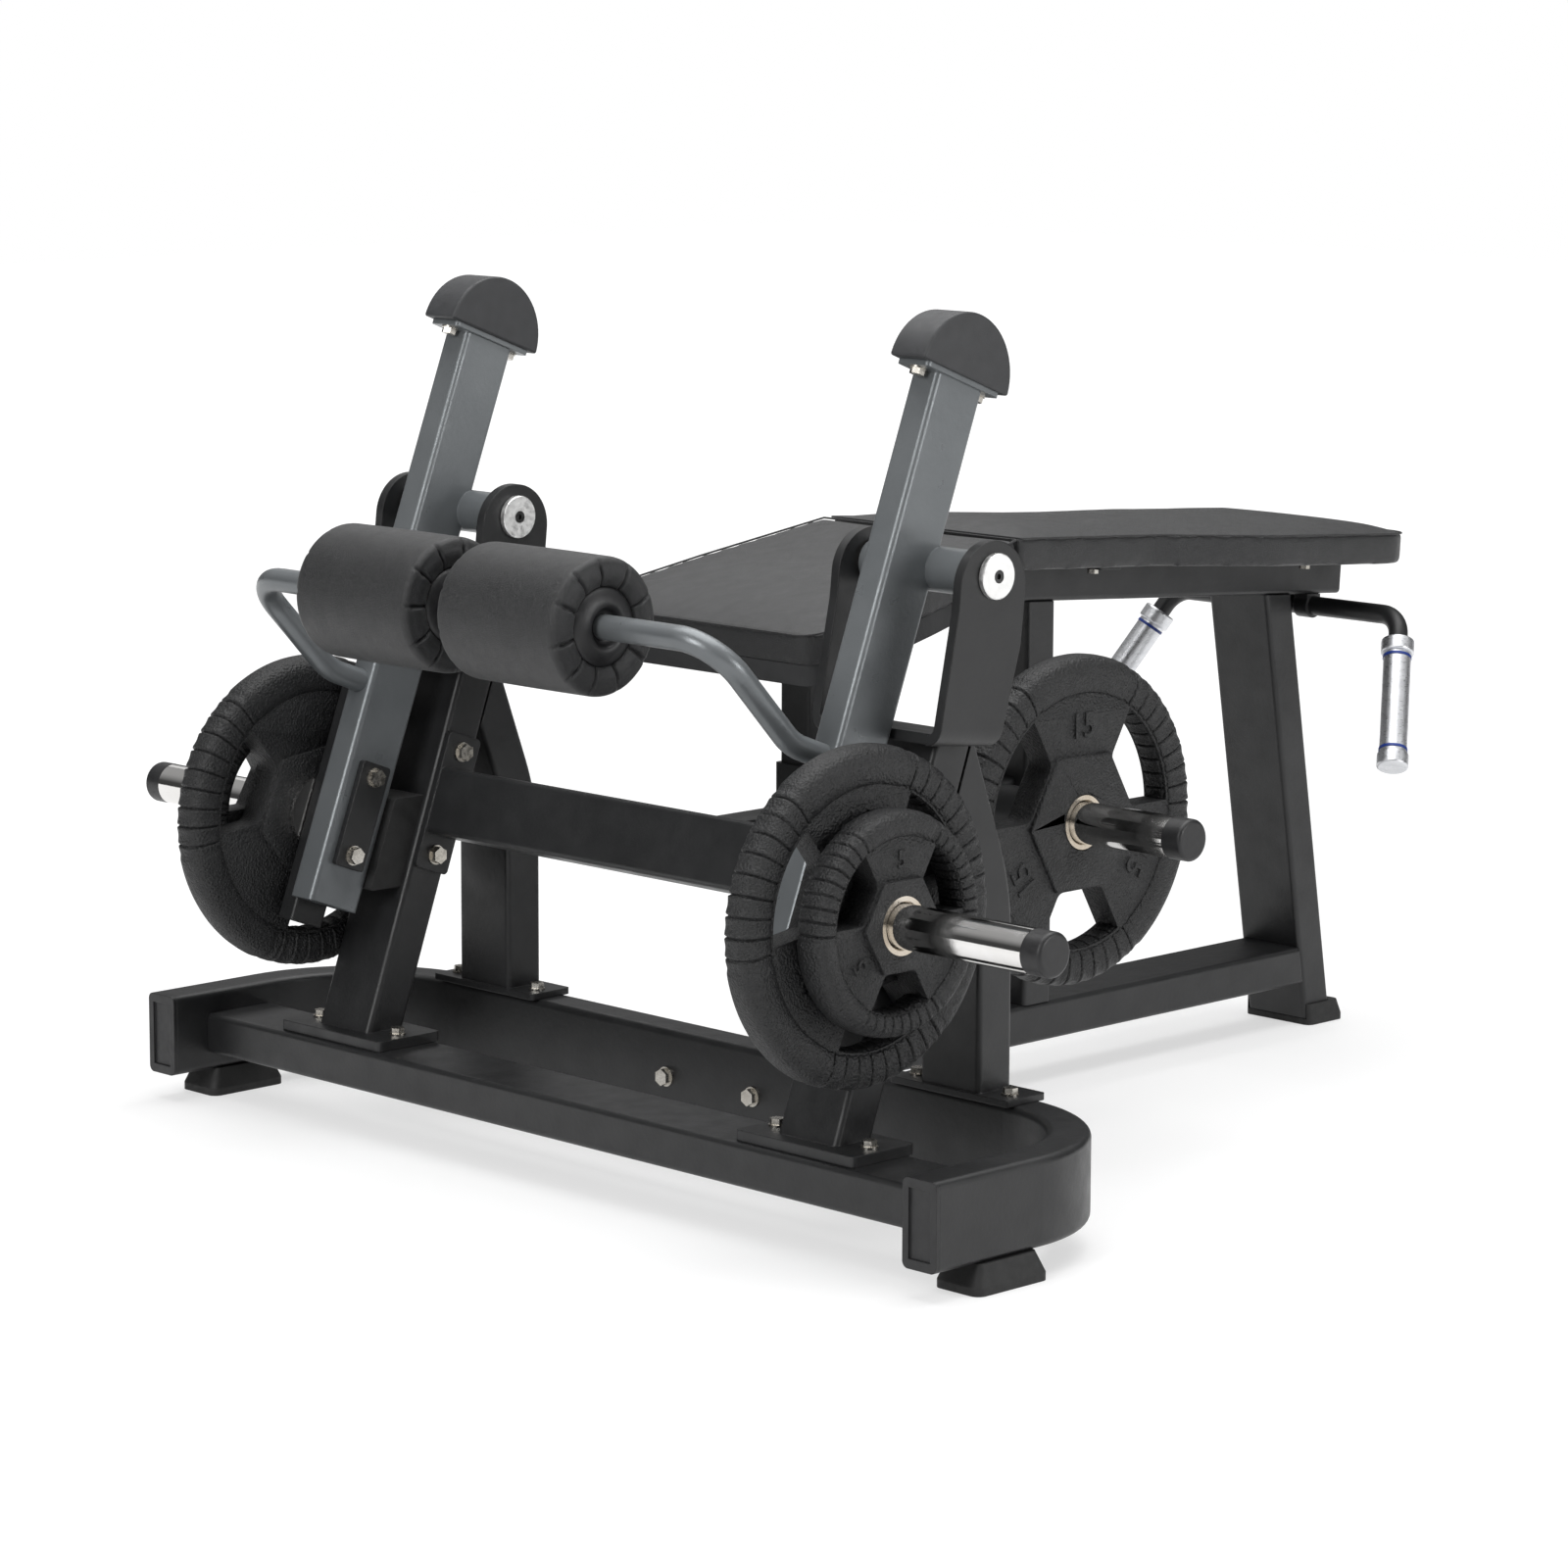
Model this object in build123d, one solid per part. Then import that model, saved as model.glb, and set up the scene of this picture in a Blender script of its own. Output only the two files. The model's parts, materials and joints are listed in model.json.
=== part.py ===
from build123d import *
import math
import os

# Plate-loaded lying leg curl machine, in millimetres.
#
# Stations (X) are measured from the open front ends of the base, +X towards the head end of
# the bench. +Y is the machine's left, Z = 0 is the floor. Everything is made at its station,
# and save() shifts it so that the part's origin lies on the floor under the middle of the
# machine. Side pieces are made on the +Y side and mirrored. The machine is symmetric about
# Y = 0, but for its weight storage, which is on the right only.

# ------------------------------------------------------------------ driving dimensions
WALL = 3.0                       # wall of the structural tubes
PLATE = 8.0                      # thickness of brackets and clamp plates

# base
BASE_HALF_WIDTH = 676.0
BASE_TUBE_WIDTH = 50.0
BASE_TUBE_HEIGHT = 100.0
BASE_UNDERSIDE = 33.0
BASE_BACK = 361.0                # station of the rear face of the base's back bar
BASE_CORNER_RADIUS = 175.0       # centre line
CROSS_TUBE_X = (48.0, 148.0)
CROSS_TUBE_Z = (55.0, 105.0)
FRONT_FOOT_X = (50.0, 163.0)
FRONT_FOOT_Y = (618.0, 686.0)
REAR_FOOT_X = (1361.0, 1433.0)
REAR_FOOT_HALF_WIDTH = 56.0
REAR_FOOT_HEIGHT = 28.0
BASE_RAIL_Z = (57.0, 107.0)
FLAT_TUBE_HALF_WIDTH = 50.0      # the 100 x 50 tubes on the centre line

# side frames
POST_Y = 399.0
POST_WIDTH = 92.0
POST_DEPTH = 54.0
POST_TOP = 550.0                 # nominal; the tops are cut to the bracket's tilt
BASE_PLATE_HALF_LENGTH = 92.5
FOOT_BOLT = 10.0
BASE_PLATE_BOLT = 72.0           # from the post's middle, along Y
FRONT_PLATE_X = (57.0, 153.0)
FRONT_PLATE_T = 13.0
FRONT_POST_FOOT = 106.0          # station of the post's middle, on its base plate
FRONT_POST_SLOPE = 0.36
REAR_PLATE_X = (302.0, 366.0)
REAR_POST_X = 332.0
REAR_POST_BEND_Z = 365.0
REAR_POST_TOP_X = 264.0
REAR_POST_BEND_RADIUS = 300.0
CROSSBEAM_HEIGHT = 387.0         # of its middle; its section leans with the front posts
CROSSBEAM_SECTION = (82.0, 50.0)
CROSSBEAM_FLANGE = (52.0, 170.0)
CROSSBEAM_BOLT_SPACING = 129.0
MID_BEAM_HALF_WIDTH = 30.0
MID_BEAM_Z = (345.0, 395.0)

# pivot
PIVOT_X = 269.4
PIVOT_Z = 736.0
BRACKET_Y = (294.5, 493.8)
BRACKET_T = 12.0
BRACKET_TILT = 6.0               # degrees, leaning forward
BRACKET_DEPTH = 177.0            # from the ears' centre to the underside
BRACKET_FOOT_X = (-66.5, 30.0)   # ends of the underside, in the bracket's own frame
BRACKET_BEND_RADIUS = 20.0
BRACKET_ARM_GAP = 6.0            # between the bracket's web and the arm in front of it
EAR_RADIUS = 51.5
EAR_CENTRE = (268.5, 723.5)
SHAFT_RADIUS = 12.5
SHAFT_CLEARANCE = 0.05
BUSH_RADIUS = 17.0
BUSH_FLANGE_RADIUS = 22.0
BUSH_FLANGE_T = 3.0
BUSH_LENGTH = 24.0
SLEEVE_RADIUS = 25.5
PIVOT_GAP = 0.5                  # bush flange to ear
DISC_RADIUS = 25.5
DISC_T = 7.5
SCREW_RADIUS = 4.0
SCREW_HEAD_RADIUS = 7.0
SCREW_HEAD_T = 5.0

# lever
ARM_LEAN = 20.9                  # degrees from vertical at rest
ARM_Y = 393.0
ARM_WIDTH = 40.0
ARM_DEPTH = 77.0
ARM_OFFSET = 46.0                # pivot axis behind the arm's middle
ARM_BELOW = 510.0
ARM_ABOVE = 202.7
ARM_FLANGE_T = 6.0
ARM_FLANGE_HALF_LENGTH = 61.0
WEIGHT_RADIUS = 72.0
WEIGHT_WIDTH = 54.0
BAR_RADIUS = 14.0
BAR_ROLLER = (-287.1, -166.3)    # roller axis in the arm's own frame
BAR_CORNER = (-136.1, -239.3)
ROLLER_RADIUS = 77.5
ROLLER_Y = (25.0, 221.0)
ROLLER_DISC_RADIUS = 46.0
ROLLER_DISC_T = 14.0
CARRIER_Y = (413.0, 441.0)
CARRIER_DEPTH = 50.0
CARRIER_ALONG = (-537.0, -238.0)
LEVER_HORN_ALONG = -401.3        # along the arm from the pivot
CLAMP_ALONG = -396.3
CLAMP_BOLT = 48.5
CLAMP_PLATE_SIZE = (44.0, 130.0)
BUMPER_Z = (290.0, 398.0)
BUMPER_WIDTH = 62.0

# weight horns and plates
HORN_RADIUS = 25.0
HORN_FLANGE_RADIUS = 45.0
HORN_FLANGE_T = 6.0
HORN_CAP = 28.0
LEVER_HORN_TIP = 760.0
STORAGE_X = 625.0
STORAGE_Z = 396.0
STORAGE_FLANGE_Y = 259.0
STORAGE_HORN_TIP = 481.0
STORAGE_TUBE_RADIUS = 30.0
PLATE_T = 46.0
PLATE_GAP = 0.5
PLATE_BORE = 25.6
PLATE_RING = 32.5
RIM_RATIO = 0.75                 # inner radius of the rim over the plate's radius
HUB_FLAT_RATIO = 0.4
WEB_T = 34.0
LARGE_RADIUS = 198.0
MEDIUM_RADIUS = 190.0
SMALL_RADIUS = 125.0

# bench
APEX_X = 668.0                   # where the two pads meet
APEX_Z = 720.0
TORSO_SLOPE = 4.04               # degrees, falling towards the head
THIGH_SLOPE = 10.8               # degrees, falling towards the feet
TORSO_LENGTH = 760.0
TORSO_RAIL_LENGTH = 749.0
THIGH_LENGTH = 413.0
THIGH_RAIL_START = 452.0
TORSO_PAD_T = 31.0
BOARD_T = 12.0
THIGH_PAD_T = 41.0
THIGH_BOARD_T = 26.0
RAIL_HEIGHT = 50.0
THIGH_RAIL_HEIGHT = 40.0
MID_STANCHION_X = (808.0, 858.0)
HEAD_STANCHION_TOP = (1291.5, 570.0)
HEAD_STANCHION_FOOT = (1386.5, 8.0)
THIGH_POST_X = 477.0
TAB_Y = (50.0, 122.0)
TAB_BOLT_Y = 92.0
TAB_T = 5.0
TORSO_TABS = (215.0, 625.0)      # along the torso rail from the apex
THIGH_TABS = (-185.0, -70.0)     # along the thigh rail from the apex

# handles
HANDLE_BAR_RADIUS = 12.5
HANDLE_ELBOW = (1362.0, 190.0, 562.0)
HANDLE_SLANT = (-0.5625, 0.4167, -1.0)
HANDLE_BEND_RADIUS = 38.0
HANDLE_SADDLE_RADIUS = 16.0
HANDLE_SADDLE_Y = (26.0, 48.0)
HANDLE_COLLAR_RADIUS = 21.5
HANDLE_GRIP_RADIUS = 18.0
HANDLE_COLLAR_LENGTH = 20.0
HANDLE_GRIP_LENGTH = 142.0
HANDLE_COLLAR_START = 36.0       # along the slanted leg from the elbow

FRONT_MOST = PIVOT_X + (
    BAR_ROLLER[0] * math.cos(math.radians(ARM_LEAN))
    + BAR_ROLLER[1] * math.sin(math.radians(ARM_LEAN))
) - ROLLER_RADIUS
ORIGIN_STATION = (FRONT_MOST + REAR_FOOT_X[1]) / 2
ARM_BACK = -ARM_OFFSET + ARM_DEPTH / 2
ARM_FRONT = -ARM_OFFSET - ARM_DEPTH / 2


# ------------------------------------------------------------------ helpers
def block(x, y, z):
    """A box between two values on each axis."""
    size = (x[1] - x[0], y[1] - y[0], z[1] - z[0])
    middle = ((x[0] + x[1]) / 2, (y[0] + y[1]) / 2, (z[0] + z[1]) / 2)
    return Pos(*middle) * Box(*size)


def hollow_section(width, depth, wall=WALL, corner=6.0):
    """The cross-section of a rectangular tube."""
    inner = RectangleRounded(width - 2 * wall, depth - 2 * wall, max(corner - wall, 0.5))
    return RectangleRounded(width, depth, corner) - inner


def bar_along(start, end, section):
    """A section extruded from one point to another, its first side along Y."""
    run = Vector(*end) - Vector(*start)
    plane = Plane(origin=start, x_dir=(0, 1, 0), z_dir=run.normalized())
    return extrude(plane * section, run.length)


def rod_y(x, z, radius, y, bore=0.0):
    """A rod or tube along Y between two values of Y."""
    section = Circle(radius)
    if bore:
        section = section - Circle(bore)
    plane = Plane(origin=(x, y[0], z), x_dir=(1, 0, 0), z_dir=(0, 1, 0))
    return extrude(plane * section, y[1] - y[0])


def outline_y(points, y):
    """A prism along Y with a straight-sided outline in X and Z."""
    face = make_face(Polyline(*[(px, 0, pz) for px, pz in points], close=True))
    return Pos(0, y[0], 0) * extrude(face, y[1] - y[0], dir=(0, 1, 0))


def other_side(solid):
    return mirror(solid, about=Plane.XZ)


def both_sides(solids):
    return list(solids) + [other_side(solid) for solid in solids]


def bolt(point, direction, grip, size=12.0, nut=True):
    """A hexagon bolt with washers. Its head rests on `point` and its shank goes along
    `direction` through `grip` of material, to a nut."""
    plane = Plane(origin=point, z_dir=direction)
    head_height = 0.65 * size
    washer = 0.2 * size
    hexagon = RegularPolygon(0.87 * size, 6)
    ring = Circle(1.0 * size)
    solid = extrude(plane * ring, -washer)
    solid += extrude(plane.offset(-washer) * hexagon, -head_height)
    if nut:
        solid += extrude(plane * Circle(size / 2), grip + washer + size)
        solid += extrude(plane.offset(grip) * ring, washer)
        solid += extrude(plane.offset(grip + washer) * hexagon, 0.8 * size)
    else:
        solid += extrude(plane * Circle(size / 2), grip)
    return solid


def bolt_hole(point, direction, depth, size=12.0):
    plane = Plane(origin=point, z_dir=direction)
    return extrude(plane * Circle(size / 2), depth)


def in_arm_frame(shape):
    """Place a shape made in the lever arm's own frame: origin on the pivot axis, Z up the
    arm, X from its front face to its back."""
    return Location((PIVOT_X, 0, PIVOT_Z), (0, ARM_LEAN, 0)) * shape


def arm_point(across, along, y=0.0):
    """A point given in the lever arm's frame, as station, Y and height."""
    lean = math.radians(ARM_LEAN)
    x = PIVOT_X + across * math.cos(lean) + along * math.sin(lean)
    z = PIVOT_Z - across * math.sin(lean) + along * math.cos(lean)
    return (x, y, z)


NODES = {}


def save(name, solids):
    """Collect one node, moved so that the origin is under the middle of the machine."""
    if not isinstance(solids, (list, tuple)):
        solids = [solids]
    moved = []
    for shape in solids:
        for solid in shape.solids():
            moved.append(Pos(-ORIGIN_STATION, 0, 0) * solid)
    NODES[name] = moved


# ------------------------------------------------------------------ base
BASE_Z = (BASE_UNDERSIDE, BASE_UNDERSIDE + BASE_TUBE_HEIGHT)
BASE_SIDE_Y = BASE_HALF_WIDTH - BASE_TUBE_WIDTH / 2
BASE_INNER_Y = BASE_HALF_WIDTH - BASE_TUBE_WIDTH
BACK_BAR_X = (BASE_BACK - BASE_TUBE_WIDTH, BASE_BACK)
FRONT_PLATE_TOP = CROSS_TUBE_Z[1] + FRONT_PLATE_T
REAR_PLATE_TOP = BASE_Z[1] + PLATE
BOLT_YS = (POST_Y - BASE_PLATE_BOLT, POST_Y + BASE_PLATE_BOLT)
FRONT_BOLTS = [(FRONT_POST_FOOT - 3, y, FRONT_PLATE_TOP) for y in BOLT_YS]
REAR_BOLTS = [(REAR_POST_X - 3, y, REAR_PLATE_TOP) for y in BOLT_YS]
FLANGE_T = 10.0
FLANGE_BOLT_Y = 74.0
FLANGE_BOLT_Z = 75.0
DOWN = (0, 0, -1)


def base_frame():
    height = (BASE_Z[0] + BASE_Z[1]) / 2
    back = BASE_BACK - BASE_TUBE_WIDTH / 2
    path = FilletPolyline(
        (0, -BASE_SIDE_Y, height),
        (back, -BASE_SIDE_Y, height),
        (back, BASE_SIDE_Y, height),
        (0, BASE_SIDE_Y, height),
        radius=BASE_CORNER_RADIUS,
    )
    start = Plane(origin=(0, -BASE_SIDE_Y, height), x_dir=(0, 1, 0), z_dir=(1, 0, 0))
    section = start * hollow_section(BASE_TUBE_WIDTH, BASE_TUBE_HEIGHT, corner=8.0)
    frame = sweep(section, path=path)
    for x, y, z in REAR_BOLTS:
        for side in (1, -1):
            frame -= bolt_hole((x, side * y, z), DOWN, BASE_TUBE_HEIGHT + 2 * PLATE)
    for side in (1, -1):
        frame -= bolt_hole((BACK_BAR_X[0] - 5, side * FLANGE_BOLT_Y, FLANGE_BOLT_Z),
                           (1, 0, 0), BASE_TUBE_WIDTH + 10)
    return frame


def base_end_cap():
    """A plug in an open end of the base: a rim that covers the tube's end, with a recess."""
    y = (BASE_INNER_Y, BASE_HALF_WIDTH)
    cap = block((-5, 0), y, BASE_Z)
    cap = fillet(cap.edges().filter_by(Axis.X), 8.0)
    cap -= block((-6, -2.5), (y[0] + 9, y[1] - 9), (BASE_Z[0] + 11, BASE_Z[1] - 11))
    inset = WALL + 0.2
    plug = block((0, 22), (y[0] + inset, y[1] - inset), (BASE_Z[0] + inset, BASE_Z[1] - inset))
    return cap + fillet(plug.edges().filter_by(Axis.X), 5.5)


def rail_end_cap():
    """A flat plug in the head end of the bench rail."""
    plane = torso_plane(BOARD_T + TORSO_PAD_T + RAIL_HEIGHT / 2)
    face = Plane(origin=plane.from_local_coords((TORSO_RAIL_LENGTH, 0, 0)),
                 x_dir=(0, 1, 0), z_dir=plane.x_dir)
    width = 2 * FLAT_TUBE_HALF_WIDTH
    cap = extrude(face * RectangleRounded(width, RAIL_HEIGHT, 6.0), 3.0)
    inset = 2 * (WALL + 0.2)
    return cap + extrude(face * RectangleRounded(width - inset, RAIL_HEIGHT - inset, 3.5), -18.0)


def cross_tube():
    middle_x = (CROSS_TUBE_X[0] + CROSS_TUBE_X[1]) / 2
    middle_z = (CROSS_TUBE_Z[0] + CROSS_TUBE_Z[1]) / 2
    plane = Plane(origin=(middle_x, -BASE_INNER_Y, middle_z), x_dir=(1, 0, 0), z_dir=(0, 1, 0))
    section = hollow_section(CROSS_TUBE_X[1] - CROSS_TUBE_X[0], CROSS_TUBE_Z[1] - CROSS_TUBE_Z[0])
    tube = extrude(plane * section, 2 * BASE_INNER_Y)
    for x, y, z in FRONT_BOLTS:
        for side in (1, -1):
            tube -= bolt_hole((x, side * y, z), DOWN, 80)
    return tube


def front_foot():
    """A rubber foot under the side of the base, flared towards the floor."""
    y = FRONT_FOOT_Y
    middle = ((FRONT_FOOT_X[0] + FRONT_FOOT_X[1]) / 2, (y[0] + y[1]) / 2)
    length = FRONT_FOOT_X[1] - FRONT_FOOT_X[0]
    width = y[1] - y[0]
    sole = Pos(middle[0], middle[1], 0) * RectangleRounded(length, width, 12.0)
    shoulder = Pos(middle[0], middle[1], 9) * RectangleRounded(length, width, 12.0)
    top = Pos(middle[0], middle[1], BASE_UNDERSIDE) * RectangleRounded(length - 22, width - 16, 9.0)
    return extrude(sole, 9.0) + loft([shoulder, top])


def rear_foot(stanchion):
    """A rubber boot on the foot of the head stanchion."""
    middle = (REAR_FOOT_X[0] + REAR_FOOT_X[1]) / 2
    length = REAR_FOOT_X[1] - REAR_FOOT_X[0]
    width = 2 * REAR_FOOT_HALF_WIDTH
    sole = Pos(middle, 0, 0) * RectangleRounded(length, width, 10.0)
    shoulder = Pos(middle, 0, 8) * RectangleRounded(length, width, 10.0)
    top = Pos(middle - 5, 0, REAR_FOOT_HEIGHT) * RectangleRounded(length - 8, width - 4, 8.0)
    return extrude(sole, 8.0) + loft([shoulder, top]) - stanchion


def base_rail(stanchion):
    """The flat tube along the floor, with the flange that bolts to the base's back bar."""
    front = BASE_BACK + FLANGE_T
    height = (BASE_RAIL_Z[0] + BASE_RAIL_Z[1]) / 2
    section = hollow_section(2 * FLAT_TUBE_HALF_WIDTH, BASE_RAIL_Z[1] - BASE_RAIL_Z[0])
    rail = bar_along((front, 0, height), (HEAD_STANCHION_FOOT[0], 0, height), section)
    rail -= stanchion
    rail = rail.solids().sort_by(SortBy.VOLUME)[-1]
    flange = block((BASE_BACK, front), (-100, 100), (45, 122))
    flange = fillet(flange.edges().filter_by(Axis.X), 8.0)
    for side in (1, -1):
        flange -= bolt_hole((BASE_BACK - 5, side * FLANGE_BOLT_Y, FLANGE_BOLT_Z), (1, 0, 0), 30)
    return rail + flange


# ------------------------------------------------------------------ side frames
def front_post_line(z):
    return FRONT_POST_FOOT + FRONT_POST_SLOPE * (z - FRONT_PLATE_TOP)


def in_bracket_frame(shape):
    """Place a shape made in a pivot bracket's own frame: origin at the centre of its round
    ears, Z up the ears, X from front to back."""
    return Location((EAR_CENTRE[0], 0, EAR_CENTRE[1]), (0, BRACKET_TILT, 0)) * shape


def below_bracket(post):
    reach = 2 * POST_TOP
    return post & in_bracket_frame(block((-reach, reach), (0, reach), (-reach, -BRACKET_DEPTH)))


def front_post_solid(section):
    below = FRONT_PLATE_TOP - 40
    above = POST_TOP + 40
    start = (front_post_line(below), POST_Y, below)
    end = (front_post_line(above), POST_Y, above)
    post = bar_along(start, end, section)
    return below_bracket(post) & block((-100, 600), (0, 600), (FRONT_PLATE_TOP, 2 * POST_TOP))


def crossbeam_bolt_points():
    """The two bolts through each end flange of the crossbeam, on the post's inner face."""
    lean = math.atan(FRONT_POST_SLOPE)
    points = []
    for sign in (1, -1):
        z = CROSSBEAM_HEIGHT + sign * CROSSBEAM_BOLT_SPACING / 2 * math.cos(lean)
        points.append((front_post_line(z), z))
    return points


def front_post():
    """The leaning front post, welded to its base plate."""
    post = front_post_solid(hollow_section(POST_WIDTH, POST_DEPTH))
    y = (POST_Y - BASE_PLATE_HALF_LENGTH, POST_Y + BASE_PLATE_HALF_LENGTH)
    plate = block(FRONT_PLATE_X, y, (CROSS_TUBE_Z[1], FRONT_PLATE_TOP))
    plate = fillet(plate.edges().filter_by(Axis.Z), 5.0)
    for x, bolt_y, z in FRONT_BOLTS:
        plate -= bolt_hole((x, bolt_y, z), DOWN, 30)
    inner = POST_Y - POST_WIDTH / 2
    for x, z in crossbeam_bolt_points():
        post -= bolt_hole((x, inner - 5, z), (0, 1, 0), 20)
    return post + plate


def rear_post():
    """The rear post: upright from its base plate, then bent forward to the bracket."""
    corners = [
        (REAR_POST_X, POST_Y, REAR_PLATE_TOP),
        (REAR_POST_X, POST_Y, REAR_POST_BEND_Z),
        (REAR_POST_TOP_X, POST_Y, POST_TOP),
    ]
    rise = Vector(*corners[2]) - Vector(*corners[1])
    corners[2] = tuple(Vector(*corners[2]) + rise.normalized() * 40)
    path = FilletPolyline(*corners, radius=REAR_POST_BEND_RADIUS)
    start = Plane(origin=corners[0], x_dir=(0, 1, 0), z_dir=(0, 0, 1))
    post = below_bracket(sweep(start * hollow_section(POST_WIDTH, POST_DEPTH), path=path))
    post -= front_post_solid(Rectangle(POST_WIDTH + 4, POST_DEPTH))
    post = post.solids().sort_by(SortBy.VOLUME)[-1]
    y = (POST_Y - BASE_PLATE_HALF_LENGTH, POST_Y + BASE_PLATE_HALF_LENGTH)
    plate = block(REAR_PLATE_X, y, (BASE_Z[1], REAR_PLATE_TOP))
    plate = fillet(plate.edges().filter_by(Axis.Z), 5.0)
    for x, bolt_y, z in REAR_BOLTS:
        plate -= bolt_hole((x, bolt_y, z), DOWN, 30)
    return post + plate


def crossbeam_solid(section, half_length):
    """A bar along Y whose section leans with the front posts."""
    lean = math.atan(FRONT_POST_SLOPE)
    start = (front_post_line(CROSSBEAM_HEIGHT), -half_length, CROSSBEAM_HEIGHT)
    plane = Plane(origin=start, x_dir=(math.sin(lean), 0, math.cos(lean)), z_dir=(0, 1, 0))
    return extrude(plane * section, 2 * half_length)


def crossbeam():
    """The beam between the front posts, with a leaning bolted flange at each end."""
    flange_y = POST_Y - POST_WIDTH / 2 - PLATE
    beam = crossbeam_solid(hollow_section(*CROSSBEAM_SECTION), flange_y)
    lean = math.degrees(math.atan(FRONT_POST_SLOPE))
    for side in (1, -1):
        flange = Box(CROSSBEAM_FLANGE[0], PLATE, CROSSBEAM_FLANGE[1])
        flange = fillet(flange.edges().filter_by(Axis.Y), 6.0)
        place = (front_post_line(CROSSBEAM_HEIGHT), side * (flange_y + PLATE / 2), CROSSBEAM_HEIGHT)
        flange = Location(place, (0, lean, 0)) * flange
        for x, z in crossbeam_bolt_points():
            flange -= bolt_hole((x, side * (flange_y - 5), z), (0, side, 0), 30)
        beam += flange
    return beam


def mid_beam():
    """The beam from the crossbeam to the middle stanchion, with the socket of the thigh post."""
    height = (MID_BEAM_Z[0] + MID_BEAM_Z[1]) / 2
    section = hollow_section(2 * MID_BEAM_HALF_WIDTH, MID_BEAM_Z[1] - MID_BEAM_Z[0])
    start = (front_post_line(height), 0, height)
    beam = bar_along(start, (MID_STANCHION_X[0], 0, height), section)
    beam -= crossbeam_solid(Rectangle(*CROSSBEAM_SECTION), 2 * MID_BEAM_HALF_WIDTH)
    beam = beam.solids().sort_by(Axis.X)[-1]
    foot = (THIGH_POST_X, 0, MID_BEAM_Z[1])
    head = (THIGH_POST_X, 0, MID_BEAM_Z[1] + 53)
    socket = bar_along(foot, head, hollow_section(60, 60, wall=5.0))
    return beam + socket


# ------------------------------------------------------------------ pivots
def pivot_bracket():
    """A bent plate bracket: two ears that carry the shaft, and the web that joins them."""
    outline = [
        (-EAR_RADIUS, 0),
        (-EAR_RADIUS, -30),
        (BRACKET_FOOT_X[0], -BRACKET_DEPTH),
        (BRACKET_FOOT_X[1], -BRACKET_DEPTH),
        (EAR_RADIUS, -62),
        (EAR_RADIUS, 0),
    ]
    body = outline_y(outline, BRACKET_Y) + rod_y(0, 0, EAR_RADIUS, BRACKET_Y)
    low_edges = body.edges().filter_by(Axis.X).sort_by(Axis.Z)[:2]
    body = fillet(low_edges, BRACKET_BEND_RADIUS)
    inner_width = BRACKET_Y[1] - BRACKET_Y[0] - 2 * BRACKET_T
    middle_y = (BRACKET_Y[0] + BRACKET_Y[1]) / 2
    tall = 400.0
    centre = (-200, middle_y, -BRACKET_DEPTH + BRACKET_T + tall / 2)
    plane = Plane(origin=centre, x_dir=(0, 1, 0), z_dir=(1, 0, 0))
    inner_radius = BRACKET_BEND_RADIUS - BRACKET_T
    body -= extrude(plane * RectangleRounded(inner_width, tall, inner_radius), 400)
    body = in_bracket_frame(body)
    web_end = block((-300, ARM_BACK + BRACKET_ARM_GAP),
                    (BRACKET_Y[0] + BRACKET_BEND_RADIUS, BRACKET_Y[1] - BRACKET_BEND_RADIUS),
                    (-400, -100))
    body -= in_arm_frame(web_end)
    body -= rod_y(PIVOT_X, PIVOT_Z, SHAFT_RADIUS, BRACKET_Y)
    return body


def pivot_shaft():
    shaft = rod_y(PIVOT_X, PIVOT_Z, SHAFT_RADIUS, BRACKET_Y)
    for y in ((BRACKET_Y[0], BRACKET_Y[0] + 22), (BRACKET_Y[1] - 22, BRACKET_Y[1])):
        shaft -= rod_y(PIVOT_X, PIVOT_Z, SCREW_RADIUS, y)
    return shaft


def pivot_discs():
    """The polished end discs of one shaft, each with a recess for its screw."""
    discs = []
    for face, outward in ((BRACKET_Y[0], -1), (BRACKET_Y[1], 1)):
        y = sorted((face, face + outward * DISC_T))
        disc = rod_y(PIVOT_X, PIVOT_Z, DISC_RADIUS, y, bore=SCREW_RADIUS)
        outer = face + outward * DISC_T
        rim = disc.edges().filter_by(GeomType.CIRCLE).group_by(SortBy.RADIUS)[-1]
        disc = chamfer(rim, 1.0)
        recess = sorted((outer, outer - outward * SCREW_HEAD_T))
        disc -= rod_y(PIVOT_X, PIVOT_Z, SCREW_HEAD_RADIUS + 0.5, recess)
        discs.append(disc)
    return discs


def pivot_screws():
    """The socket screws that hold the end discs on one shaft."""
    screws = []
    for face, outward in ((BRACKET_Y[0], -1), (BRACKET_Y[1], 1)):
        seat = face + outward * (DISC_T - SCREW_HEAD_T)
        top = face + outward * (DISC_T - 0.5)
        screw = rod_y(PIVOT_X, PIVOT_Z, SCREW_HEAD_RADIUS, sorted((seat, top)))
        screw += rod_y(PIVOT_X, PIVOT_Z, SCREW_RADIUS, sorted((seat, face - outward * 20)))
        socket = Plane(origin=(PIVOT_X, top, PIVOT_Z), z_dir=(0, -outward, 0))
        screw -= extrude(socket * RegularPolygon(3.5, 6), 3.0)
        screws.append(screw)
    return screws


# ------------------------------------------------------------------ lever
ARM_Y_RANGE = (ARM_Y - ARM_WIDTH / 2, ARM_Y + ARM_WIDTH / 2)
SLEEVE_Y = (
    BRACKET_Y[0] + BRACKET_T + PIVOT_GAP + BUSH_FLANGE_T,
    BRACKET_Y[1] - BRACKET_T - PIVOT_GAP - BUSH_FLANGE_T,
)
WEIGHT_BOLT_REACH = ARM_DEPTH / 2 + 11.5


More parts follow.
